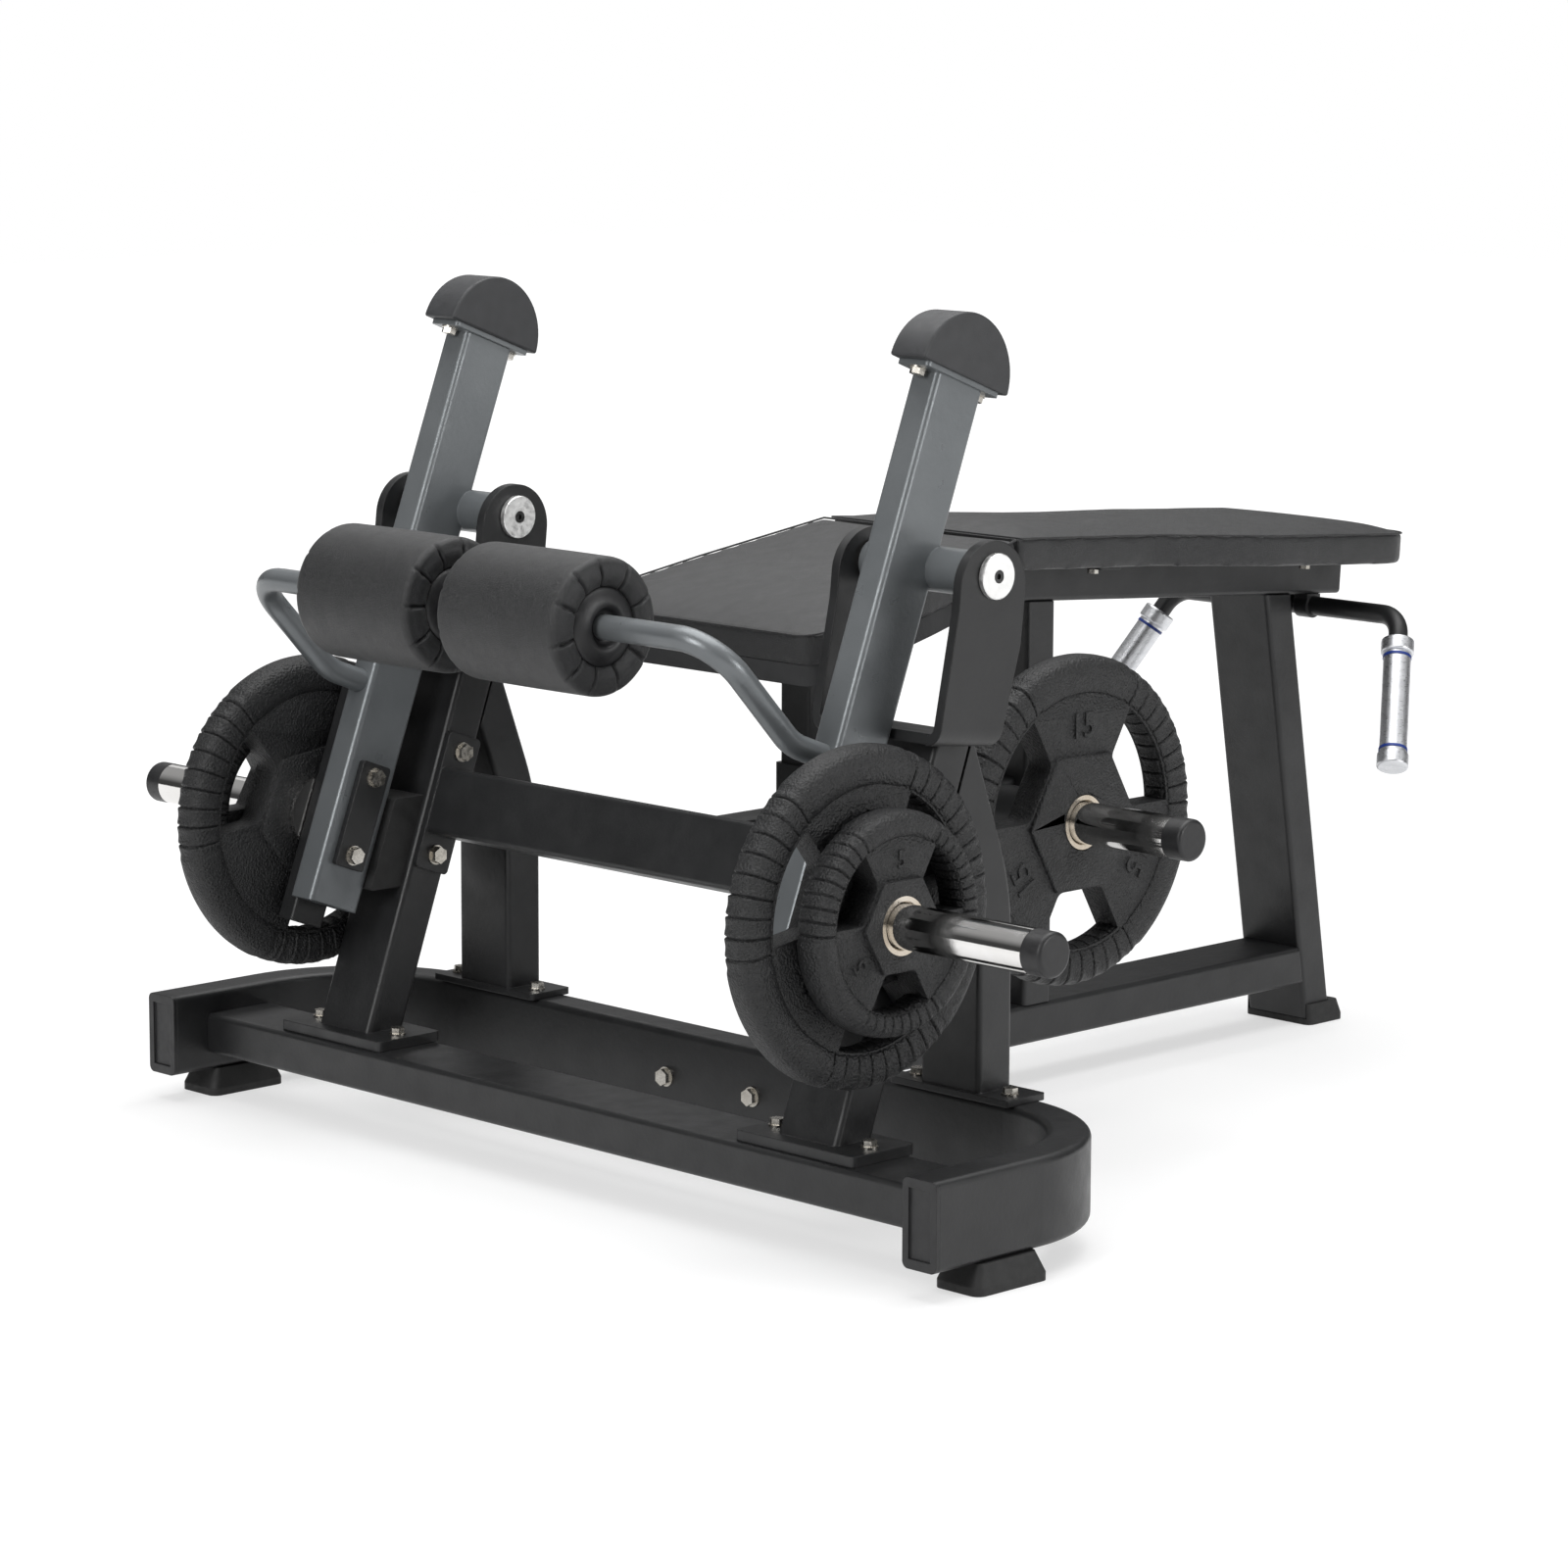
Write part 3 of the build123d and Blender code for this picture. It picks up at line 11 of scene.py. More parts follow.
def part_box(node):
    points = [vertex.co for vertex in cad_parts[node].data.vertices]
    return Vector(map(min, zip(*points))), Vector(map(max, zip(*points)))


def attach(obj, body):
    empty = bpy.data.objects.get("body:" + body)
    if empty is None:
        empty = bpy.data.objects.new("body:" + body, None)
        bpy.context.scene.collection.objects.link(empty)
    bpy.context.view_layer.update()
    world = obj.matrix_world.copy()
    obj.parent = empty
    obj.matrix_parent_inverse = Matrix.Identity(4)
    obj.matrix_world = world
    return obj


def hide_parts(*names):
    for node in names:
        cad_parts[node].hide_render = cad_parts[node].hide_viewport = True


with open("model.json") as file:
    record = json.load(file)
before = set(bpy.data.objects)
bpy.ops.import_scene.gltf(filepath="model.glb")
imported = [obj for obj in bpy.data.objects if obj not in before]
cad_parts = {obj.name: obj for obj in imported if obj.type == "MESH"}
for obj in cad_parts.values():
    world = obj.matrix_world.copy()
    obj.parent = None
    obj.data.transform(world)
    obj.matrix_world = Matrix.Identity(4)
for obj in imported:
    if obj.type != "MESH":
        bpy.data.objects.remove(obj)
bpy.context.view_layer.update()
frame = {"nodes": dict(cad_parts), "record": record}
MM = 0.001
SIDES = (("left", 1), ("right", -1))

# ------------------------------------------------------------------ camera, light and floor
CAMERA_AT = (-4.3945, -4.2357, 1.4250)
CAMERA_YAW = 45.865                  # degrees from +X towards +Y
CAMERA_PITCH = -9.449
CAMERA_ROLL = 0.119
LENS = 115.78
SHIFT = (0.02696, -0.0046)
FLOOR_HALF_WIDTH = 14
FLOOR_DROP = 0.4 * MM


def make_camera():
    data = bpy.data.cameras.new("camera")
    data.lens = LENS
    data.sensor_width = 36
    data.shift_x, data.shift_y = SHIFT
    data.clip_end = 50
    camera = bpy.data.objects.new("camera", data)
    bpy.context.scene.collection.objects.link(camera)
    turn = Matrix.Rotation(math.radians(CAMERA_YAW - 90), 4, "Z")
    tilt = Matrix.Rotation(math.radians(CAMERA_PITCH + 90), 4, "X")
    roll = Matrix.Rotation(math.radians(CAMERA_ROLL), 4, "Z")
    camera.matrix_world = Matrix.Translation(CAMERA_AT) @ turn @ tilt @ roll
    bpy.context.scene.camera = camera


def add_area(name, place, aim, size, power, colour=(1, 1, 1)):
    data = bpy.data.lights.new(name, "AREA")
    data.shape = "RECTANGLE"
    data.size, data.size_y = size
    data.energy = power
    data.color = colour
    lamp = bpy.data.objects.new(name, data)
    bpy.context.scene.collection.objects.link(lamp)
    lamp.location = place
    lamp.rotation_euler = (Vector(aim) - Vector(place)).to_track_quat("-Z", "Y").to_euler()


def make_world():
    """A white backdrop for the camera. Everything else sees a studio that is bright overhead
    and below, and dark at eye level, which gives the polished parts their streaks."""
    world = bpy.data.worlds.new("studio")
    bpy.context.scene.world = world
    world.use_nodes = True
    tree = world.node_tree
    tree.nodes.clear()
    output = tree.nodes.new("ShaderNodeOutputWorld")
    mix = tree.nodes.new("ShaderNodeMixShader")
    seen = tree.nodes.new("ShaderNodeBackground")
    seen.inputs["Color"].default_value = (1, 1, 1, 1)
    seen.inputs["Strength"].default_value = 1.0
    room = tree.nodes.new("ShaderNodeBackground")
    room.inputs["Strength"].default_value = 0.6
    path = tree.nodes.new("ShaderNodeLightPath")
    coordinates = tree.nodes.new("ShaderNodeTexCoord")
    split = tree.nodes.new("ShaderNodeSeparateXYZ")
    height = tree.nodes.new("ShaderNodeValToRGB")
    stops = ((0.0, 0.7), (0.46, 0.5), (0.5, 0.08), (0.62, 0.10), (0.78, 0.6), (1.0, 0.8))
    ramp = height.color_ramp
    while len(ramp.elements) < len(stops):
        ramp.elements.new(0.5)
    for element, (position, value) in zip(ramp.elements, stops):
        element.position = position
        element.color = (value, value, value, 1)
    lift = tree.nodes.new("ShaderNodeMapRange")
    lift.inputs["From Min"].default_value = -1
    tree.links.new(coordinates.outputs["Generated"], split.inputs["Vector"])
    tree.links.new(split.outputs["Z"], lift.inputs["Value"])
    tree.links.new(lift.outputs["Result"], height.inputs["Fac"])
    tree.links.new(height.outputs["Color"], room.inputs["Color"])
    tree.links.new(path.outputs["Is Camera Ray"], mix.inputs["Fac"])
    tree.links.new(room.outputs["Background"], mix.inputs[1])
    tree.links.new(seen.outputs["Background"], mix.inputs[2])
    tree.links.new(mix.outputs["Shader"], output.inputs["Surface"])


def floor_material():
    """Matt white near the machine, where it takes its shadows, and pure white beyond. It
    throws only a little light back up, so that undersides stay dark."""
    material, tree, shader = new_material("floor_white")
    shader.inputs["Roughness"].default_value = 0.85
    shader.inputs["Specular IOR Level"].default_value = 0.0
    tone = noise(tree, 1.5, 2)
    tree.links.new(mixed(tree, tone, (0.90, 0.90, 0.905), (0.92, 0.92, 0.92)),
                   shader.inputs["Base Color"])
    glow = tree.nodes.new("ShaderNodeEmission")
    glow.inputs["Strength"].default_value = 1.15
    place = tree.nodes.new("ShaderNodeTexCoord")
    length = tree.nodes.new("ShaderNodeVectorMath")
    length.operation = "LENGTH"
    tree.links.new(place.outputs["Object"], length.inputs[0])
    fade = spread(tree, length.outputs["Value"], 0.5, 1.0, 0.9, 1.9)
    mix = tree.nodes.new("ShaderNodeMixShader")
    tree.links.new(fade, mix.inputs["Fac"])
    tree.links.new(shader.outputs["BSDF"], mix.inputs[1])
    tree.links.new(glow.outputs["Emission"], mix.inputs[2])
    bounce = tree.nodes.new("ShaderNodeBsdfDiffuse")
    bounce.inputs["Color"].default_value = (0.3, 0.3, 0.3, 1)
    path = tree.nodes.new("ShaderNodeLightPath")
    seen = tree.nodes.new("ShaderNodeMixShader")
    tree.links.new(path.outputs["Is Diffuse Ray"], seen.inputs["Fac"])
    tree.links.new(mix.outputs["Shader"], seen.inputs[1])
    tree.links.new(bounce.outputs["BSDF"], seen.inputs[2])
    output = tree.nodes["Material Output"]
    tree.links.new(seen.outputs["Shader"], output.inputs["Surface"])
    return material


def make_stage():
    half = FLOOR_HALF_WIDTH
    corners = [(-half, -half, 0), (half, -half, 0), (half, half, 0), (-half, half, 0)]
    floor = make_mesh("floor", corners, [(0, 1, 2, 3)])
    floor.location.z = -FLOOR_DROP
    floor.data.materials.append(floor_material())
    bpy.context.scene.view_settings.view_transform = "Standard"
    add_area("overhead", (0.2, 0.0, 3.4), (0, 0, 0.3), (3.6, 3.6), 125)
    add_area("key", (-4.2, -0.6, 2.2), (0, 0, 0.4), (1.6, 1.6), 78)
    add_area("right_fill", (1.2, -4.8, 1.6), (0.1, 0, 0.5), (2.2, 1.4), 80)
    add_area("back", (2.6, 4.2, 2.6), (0, 0, 0.5), (3.0, 1.6), 8)


# ------------------------------------------------------------------ mesh helpers
def make_mesh(name, points, faces, smooth=False):
    mesh = bpy.data.meshes.new(name)
    mesh.from_pydata([tuple(p) for p in points], [], faces)
    mesh.update()
    if smooth:
        mesh.polygons.foreach_set("use_smooth", [True] * len(mesh.polygons))
    piece = bpy.data.objects.new(name, mesh)
    bpy.context.scene.collection.objects.link(piece)
    return piece


def ring_mesh(name, rings, closed=False, smooth=True):
    """A surface through rings of points. Every ring joins up with itself, and with `closed`
    the last ring joins the first."""
    size = len(rings[0])
    points = [point for ring in rings for point in ring]
    faces = []
    for i in range(len(rings) if closed else len(rings) - 1):
        a = i * size
        b = (i + 1) % len(rings) * size
        for j in range(size):
            k = (j + 1) % size
            faces.append((a + j, a + k, b + k, b + j))
    return make_mesh(name, points, faces, smooth)


def joined(name, pieces):
    """Several mesh objects as one."""
    with bpy.context.temp_override(active_object=pieces[0], object=pieces[0],
                                   selected_objects=pieces,
                                   selected_editable_objects=pieces):
        bpy.ops.object.join()
    pieces[0].name = name
    pieces[0].data.name = name
    return pieces[0]


def flat_shape(name, outlines, thickness, edge):
    """A plate in its own X and Y with rounded edges. Outlines after the first are holes."""
    flat = [[Vector((x, y, 0)) for x, y in outline] for outline in outlines]
    points = [(p.x, p.y, thickness / 2) for outline in flat for p in outline]
    count = len(points)
    points += [(x, y, -z) for x, y, z in points]
    faces = []
    for a, b, c in tessellate_polygon(flat):
        faces += [(a, b, c), (c + count, b + count, a + count)]
    start = 0
    for outline in flat:
        for i in range(len(outline)):
            a, b = start + i, start + (i + 1) % len(outline)
            faces.append((a, b, b + count, a + count))
        start += len(outline)
    piece = make_mesh(name, points, faces)
    face_outwards(piece)
    bevel = piece.modifiers.new("edge", "BEVEL")
    bevel.width = edge
    bevel.segments = 2
    bevel.limit_method = "ANGLE"
    bevel.angle_limit = math.radians(60)
    apply_modifiers(piece)
    return piece


def face_outwards(piece):
    work = bmesh.new()
    work.from_mesh(piece.data)
    bmesh.ops.recalc_face_normals(work, faces=work.faces)
    work.to_mesh(piece.data)
    work.free()


def raised_text(name, words, size, thickness):
    text = bpy.data.curves.new(name, "FONT")
    text.body = words
    text.size = size
    text.align_x = "CENTER"
    text.align_y = "CENTER"
    text.extrude = thickness / 2
    text.bevel_depth = 0.4 * MM
    text.resolution_u = 5
    return meshed(name, text)


def meshed(name, curve):
    """The mesh of a curve or text."""
    holder = bpy.data.objects.new(name, curve)
    bpy.context.scene.collection.objects.link(holder)
    bpy.context.view_layer.update()
    solid = holder.evaluated_get(bpy.context.evaluated_depsgraph_get())
    mesh = bpy.data.meshes.new_from_object(solid)
    bpy.data.objects.remove(holder)
    mesh.name = name
    piece = bpy.data.objects.new(name, mesh)
    bpy.context.scene.collection.objects.link(piece)
    return piece


def moved(piece, matrix):
    piece.data.transform(matrix)
    return piece


def circle(radius, steps):
    turn = 2 * math.pi / steps
    return [(radius * math.cos(i * turn), radius * math.sin(i * turn)) for i in range(steps)]


def smoothstep(low, high, value):
    t = min(max((value - low) / (high - low), 0.0), 1.0)
    return t * t * (3 - 2 * t)


def middle(node):
    low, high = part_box(node)
    return (low + high) / 2


def finish_piece(piece, body, slot, material, *nodes):
    piece.data.materials.clear()
    piece.data.materials.append(material)
    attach(piece, body)
    if nodes:
        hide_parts(*nodes)
    return piece


# ------------------------------------------------------------------ material helpers
def new_material(name):
    material = bpy.data.materials.new(name)
    material.use_nodes = True
    tree = material.node_tree
    return material, tree, tree.nodes["Principled BSDF"]


def place_on_object(tree, stretch=(1, 1, 1)):
    coordinates = tree.nodes.new("ShaderNodeTexCoord")
    mapping = tree.nodes.new("ShaderNodeMapping")
    mapping.inputs["Scale"].default_value = stretch
    tree.links.new(coordinates.outputs["Object"], mapping.inputs["Vector"])
    return mapping.outputs["Vector"]


def noise(tree, scale, detail=3.0, stretch=(1, 1, 1)):
    node = tree.nodes.new("ShaderNodeTexNoise")
    node.inputs["Scale"].default_value = scale
    node.inputs["Detail"].default_value = detail
    tree.links.new(place_on_object(tree, stretch), node.inputs["Vector"])
    return node.outputs["Fac"]


def cells(tree, scale, feature):
    node = tree.nodes.new("ShaderNodeTexVoronoi")
    node.feature = feature
    node.inputs["Scale"].default_value = scale
    if feature == "SMOOTH_F1":
        node.inputs["Smoothness"].default_value = 0.6
    tree.links.new(place_on_object(tree), node.inputs["Vector"])
    return node.outputs["Distance"]


def spread(tree, value, low, high, start=0.3, end=0.7):
    node = tree.nodes.new("ShaderNodeMapRange")
    node.inputs["From Min"].default_value = start
    node.inputs["From Max"].default_value = end
    node.inputs["To Min"].default_value = low
    node.inputs["To Max"].default_value = high
    tree.links.new(value, node.inputs["Value"])
    return node.outputs["Result"]


def mixed(tree, value, dark, light, start=0.3, end=0.7):
    node = tree.nodes.new("ShaderNodeMix")
    node.data_type = "RGBA"
    node.inputs["A"].default_value = (*dark, 1)
    node.inputs["B"].default_value = (*light, 1)
    tree.links.new(spread(tree, value, 0, 1, start, end), node.inputs["Factor"])
    return node.outputs["Result"]


def bumped(tree, shader, *layers, corner=0.0):
    """Stacks bump layers, each (height, distance in metres). `corner` softens sharp edges to
    that radius in the shading."""
    last = None
    if corner:
        bevel = tree.nodes.new("ShaderNodeBevel")
        bevel.inputs["Radius"].default_value = corner
        bevel.samples = 4
        last = bevel.outputs["Normal"]
    for height, distance in layers:
        node = tree.nodes.new("ShaderNodeBump")
        node.inputs["Strength"].default_value = 1.0
        node.inputs["Distance"].default_value = distance
        tree.links.new(height, node.inputs["Height"])
        if last is not None:
            tree.links.new(last, node.inputs["Normal"])
        last = node.outputs["Normal"]
    tree.links.new(last, shader.inputs["Normal"])


def painted(name, dark, light, roughness, metallic=0.0):
    """Powder coat: orange peel, faint colour drift and uneven gloss."""
    material, tree, shader = new_material(name)
    tree.links.new(mixed(tree, noise(tree, 9, 4), dark, light), shader.inputs["Base Color"])
    tree.links.new(spread(tree, noise(tree, 30, 5), roughness - 0.05, roughness + 0.07),
                   shader.inputs["Roughness"])
    shader.inputs["Metallic"].default_value = metallic
    bumped(tree, shader, (noise(tree, 900, 2), 0.00012), (noise(tree, 160, 2), 0.00018),
           corner=2.2 * MM)
    return material


def metal(name, dark, light, roughness, stretch=(1, 1, 1), grain=0.00003):
    material, tree, shader = new_material(name)
    tree.links.new(mixed(tree, noise(tree, 25, 4, stretch), dark, light),
                   shader.inputs["Base Color"])
    tree.links.new(spread(tree, noise(tree, 180, 4, stretch), roughness * 0.7, roughness * 1.4),
                   shader.inputs["Roughness"])
    shader.inputs["Metallic"].default_value = 1.0
    bumped(tree, shader, (noise(tree, 700, 3, stretch), grain))
    return material


def leather():
    """Grained black upholstery with a soft sheen and shallow creases."""
    material, tree, shader = new_material("upholstery")
    tone = mixed(tree, noise(tree, 14, 6), (0.0060, 0.0064, 0.0072), (0.0105, 0.0110, 0.0120))
    tree.links.new(tone, shader.inputs["Base Color"])
    tree.links.new(spread(tree, noise(tree, 40, 5), 0.36, 0.48), shader.inputs["Roughness"])
    shader.inputs["Sheen Weight"].default_value = 0.10
    shader.inputs["Sheen Roughness"].default_value = 0.5
    grain = cells(tree, 620, "DISTANCE_TO_EDGE")
    bumped(tree, shader, (spread(tree, grain, 0, 1, 0.0, 0.25), 0.00022),
           (noise(tree, 1300, 3), 0.0001), (noise(tree, 22, 4, (1, 1.6, 1)), 0.0016))
    return material


def pebbled_rubber(name, dark, light, cell, depth, roughness):
    material, tree, shader = new_material(name)
    tree.links.new(mixed(tree, noise(tree, 60, 6), dark, light), shader.inputs["Base Color"])
    tree.links.new(spread(tree, noise(tree, 120, 4), roughness - 0.07, roughness + 0.08),
                   shader.inputs["Roughness"])
    pebbles = cells(tree, cell, "SMOOTH_F1")
    bumped(tree, shader, (pebbles, depth), (noise(tree, cell * 1.4, 4), depth),
           (noise(tree, 35, 3), 0.0006), corner=1.5 * MM)
    return material


def make_materials():
    return {
        "frame_paint": painted("frame_powder_coat", (0.0105, 0.0108, 0.0114),
                               (0.0160, 0.0164, 0.0172), 0.40),
        "lever_paint": painted("lever_powder_coat", (0.160, 0.172, 0.180),
                               (0.195, 0.208, 0.216), 0.32, 0.4),
        "weight_paint": pebbled_rubber("weight_coat", (0.030, 0.031, 0.033),
                                       (0.040, 0.041, 0.044), 900, 0.00008, 0.5),
        "black_plastic": pebbled_rubber("moulded_plastic", (0.010, 0.010, 0.011),
                                        (0.016, 0.016, 0.017), 1100, 0.00006, 0.42),
        "black_rubber": pebbled_rubber("soft_rubber", (0.013, 0.013, 0.013),
                                       (0.020, 0.020, 0.020), 800, 0.0001, 0.62),
        "plate_rubber": pebbled_rubber("plate_rubber", (0.0060, 0.0062, 0.0066),
                                       (0.0120, 0.0123, 0.0130), 330, 0.0014, 0.50),
        "pad_leather": leather(),
        "pad_board": painted("board_cover", (0.019, 0.0195, 0.021),
                             (0.024, 0.0245, 0.026), 0.55),
        "chrome": metal("chrome", (0.74, 0.73, 0.71), (0.80, 0.79, 0.78), 0.07),
        "ring_steel": metal("turned_steel", (0.50, 0.43, 0.34), (0.66, 0.60, 0.52), 0.25),
        "zinc": metal("zinc_plate", (0.44, 0.41, 0.36), (0.60, 0.58, 0.54), 0.26),
        "disc": metal("bright_disc", (0.84, 0.84, 0.83), (0.92, 0.92, 0.91), 0.42),
        # pivot screws: very dark steel all over, painted shade standing in for the shade in their
        # recessed sockets
        "screw": metal("screw_painted_shade", (0.06, 0.06, 0.06), (0.10, 0.10, 0.10), 0.35),
        "grip_metal": metal("grip_aluminium", (0.62, 0.63, 0.65), (0.74, 0.75, 0.77), 0.34,
                            (1, 1, 6), 0.00012),
        "blue_band": painted("blue_band", (0.010, 0.035, 0.22), (0.014, 0.05, 0.30), 0.35),
    }


def dress_nodes(materials):
    """Gives every CAD node the material of its slot, but for the pivots' bright discs and their
    screws, which are dark steel all over as painted shade for their recessed sockets. Shading is
    smooth on curved faces and sharp at edges."""
    slots = {part["node"]: part["material_slot"] for part in frame["record"]["subparts"]}
    slots |= {"pivot_discs": "disc", "pivot_screws": "screw"}
    for name, node in frame["nodes"].items():
        node.data.materials.clear()
        node.data.materials.append(materials[slots[name]])
        node.data.shade_smooth()
        node.data.set_sharp_from_angle(angle=math.radians(30))


# ------------------------------------------------------------------ upholstery
TORSO_SLOPE = 4.04
THIGH_SLOPE = -10.8
SEAM_RADIUS = 1.3 * MM
REST_GAP = 5 * MM                    # how far the blank is smaller than the finished pad


def pad_blank(name, node, slope, deeper, drop):
    """A copy of a pad's plain solid, a little smaller all round, with its underside moved down
    by `deeper` and its top by `drop`. Returns it with the pad's upward direction."""
    lean = math.radians(slope)
    up = Vector((math.sin(lean), 0, math.cos(lean)))
    source = frame["nodes"][node].data
    heights = [v.co.dot(up) for v in source.vertices]
    low, high = min(heights), max(heights)
    blank = bpy.data.objects.new(name, source.copy())
    bpy.context.scene.collection.objects.link(blank)
    centre = middle(node)
    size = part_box(node)[1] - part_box(node)[0]
    along = Vector((up.z, 0, -up.x))
    for vertex, height in zip(blank.data.vertices, heights):
        out = vertex.co - centre
        inward = -along * out.dot(along) * 2 * REST_GAP / size.x
        inward -= Vector((0, out.y * 2 * REST_GAP / size.y, 0))
        vertex.co += inward + up * (-deeper if height < (low + high) / 2 else -drop)
    return blank, up


def remesh(piece, size):
    modifier = piece.modifiers.new("remesh", "REMESH")
    modifier.mode = "VOXEL"
    modifier.voxel_size = size
    apply_modifiers(piece)


def apply_modifiers(piece):
    bpy.context.view_layer.update()
    solid = piece.evaluated_get(bpy.context.evaluated_depsgraph_get())
    mesh = bpy.data.meshes.new_from_object(solid)
    piece.modifiers.clear()
    piece.data = mesh


def outline_of(blank, up):
    """The top edge of a pad's blank, as points in order round it."""
    heights = [v.co.dot(up) for v in blank.data.vertices]
    top = max(heights)
    points = {}
    for vertex, height in zip(blank.data.vertices, heights):
        if height > top - 0.5 * MM:
            points[tuple(round(c, 5) for c in vertex.co)] = vertex.co.copy()
    points = list(points.values())
    centre = sum(points, Vector()) / len(points)
    along = Vector((up.z, 0, -up.x))
    points.sort(key=lambda p: math.atan2((p - centre).y, (p - centre).dot(along)))
    return spaced(points, 6 * MM)


def spaced(points, step):
    """The same closed line with points at an even spacing."""
    result = []
    for start, end in zip(points, points[1:] + points[:1]):
        count = max(1, round((end - start).length / step))
        result += [start.lerp(end, i / count) for i in range(count)]
    return result


def swell(piece, up, outline, cap):
    """Fills a pad's skin with a cloth simulation. Its underside and the seam round its top
    edge are held, so the top crowns and the sides puff out between them."""
    scene = bpy.context.scene
    rest = [v.co.copy() for v in piece.data.vertices]
    heights = [co.dot(up) for co in rest]
    low = min(heights)
    finder = nearest_finder(outline)
    held = [i for i, co in enumerate(rest)
            if heights[i] < low + 4 * MM or finder.find(co)[2] < 4.5 * MM]
    group = piece.vertex_groups.new(name="held")
    group.add(held, 1.0, "REPLACE")
    cloth = piece.modifiers.new("fill", "CLOTH")
    cloth.settings.vertex_group_mass = "held"
    cloth.settings.use_pressure = True
    cloth.settings.uniform_pressure_force = 4.0
    cloth.settings.effector_weights.gravity = 0
    cloth.settings.quality = 4
    cloth.point_cache.frame_end = 20
    for number in range(1, 21):
        scene.frame_set(number)
    solid = piece.evaluated_get(bpy.context.evaluated_depsgraph_get())
    swollen = [v.co.copy() for v in solid.data.vertices]
    piece.modifiers.clear()
    piece.vertex_groups.clear()
    for vertex, start, end in zip(piece.data.vertices, rest, swollen):
        step = end - start
        length = step.length
        if length > 1e-9:
            vertex.co = start + step * (cap * math.tanh(length / cap) / length)
    scene.frame_set(1)


def nearest_finder(points):
    tree = KDTree(len(points))
    for index, point in enumerate(points):
        tree.insert(point, index)
    tree.balance()
    return tree


def crown(piece, up, outline, rise):
    """Raises the middle of a pad's top, which falls away towards its seam."""
    finder = nearest_finder(outline)
    top = max(p.dot(up) for p in outline)
    for vertex in piece.data.vertices:
        if vertex.co.dot(up) > top - 9 * MM:
            distance = finder.find(vertex.co)[2]
            vertex.co += up * rise * math.tanh(distance / (70 * MM))


def seam_line(name, outline, up, sink):
    """A thin stitched welt along a closed line."""
    curve = bpy.data.curves.new(name, "CURVE")
    curve.dimensions = "3D"
    curve.bevel_depth = SEAM_RADIUS
    curve.bevel_resolution = 2
    spline = curve.splines.new("POLY")
    spline.points.add(len(outline) - 1)
    for point, place in zip(spline.points, outline):
        point.co = (*(place - up * sink), 1)
    spline.use_cyclic_u = True
    return meshed(name, curve)


def make_pad(name, node, slope, deeper, drop, cap, rise, materials, *nodes):
    pad, up = pad_blank(name, node, slope, deeper, drop)
    outline = outline_of(pad, up)
    remesh(pad, 5 * MM)
    swell(pad, up, outline, cap)
    crown(pad, up, outline, rise)
    finer = pad.modifiers.new("finer", "SUBSURF")
    finer.levels = 1
    apply_modifiers(pad)
    pad.data.shade_smooth()
    finish_piece(pad, "frame", "pad_leather", materials["pad_leather"], *nodes)
    seam = seam_line(name + "_seam", outline, up, -0.2 * MM)
    seam.data.shade_smooth()
    finish_piece(seam, "frame", "pad_leather", materials["pad_leather"])


# ------------------------------------------------------------------ rollers
PLEATS = 11
ROLLER_STEPS = 264
HUB_EDGE = 45 * MM
BAR_BORE = 14.2 * MM
CREASE_DEPTH = 6.5 * MM
SHOULDER_DEPTH = 2.6 * MM


def make_roller(side, materials):
    """A foam roller's cover: a smooth barrel, gathered into pleats round each end."""
    node = "roller_foam_" + side
    low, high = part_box(node)
    centre = (low + high) / 2
    radius = (high.z - low.z) / 2
    half = (high.y - low.y) / 2
    roll = 9 * MM
    profile = []
    for i in range(7):
        angle = math.radians(15 * i)
        profile.append((radius - roll + roll * math.cos(angle), roll * math.sin(angle) - roll, 0))
    for i in range(1, 9):
        t = i / 8
        bulge = 3.5 * MM * math.sin(math.pi * t)
        profile.append((radius - roll + (HUB_EDGE - radius + roll) * t, bulge - 2 * MM * t, 1))
    profile.append((HUB_EDGE - 1 * MM, -9 * MM, 0))
    rings = []
    ends = [(r, half + y, p) for r, y, p in reversed(profile)]
    reach = half - roll
    barrel = [(radius + 0.4 * MM * math.sin(math.pi * k / 10), reach - k / 5 * reach, 0)
              for k in range(1, 10)]
    starts = [(r, -half - y, p) for r, y, p in profile]
    shift = 0.35 if side == "left" else 0.1
    for r, y, pleated in ends + barrel + starts:
        ring = []
        outward = math.copysign(1, y)
        for j in range(ROLLER_STEPS):
            angle = 2 * math.pi * j / ROLLER_STEPS
            fold = abs(math.sin(PLEATS * (angle + shift + 0.05 * math.sin(3 * angle)) / 2))
            crease = math.exp(-(fold / 0.16) ** 2)
            depth = 0.0
            if pleated:
                depth = CREASE_DEPTH * crease
            elif abs(y) > half - roll and r > HUB_EDGE:
                depth = SHOULDER_DEPTH * crease * smoothstep(half - roll, half, abs(y))
            ring.append(centre + Vector(((r - 0.3 * depth) * math.cos(angle),
                                         y - outward * depth,
                                         (r - 0.3 * depth) * math.sin(angle))))
        rings.append(ring)
    cover = ring_mesh("roller_cover_" + side, rings, smooth=True)
    finish_piece(cover, "roller_" + side, "pad_leather", materials["pad_leather"], node)
    make_roller_hubs(side, centre, half, materials)


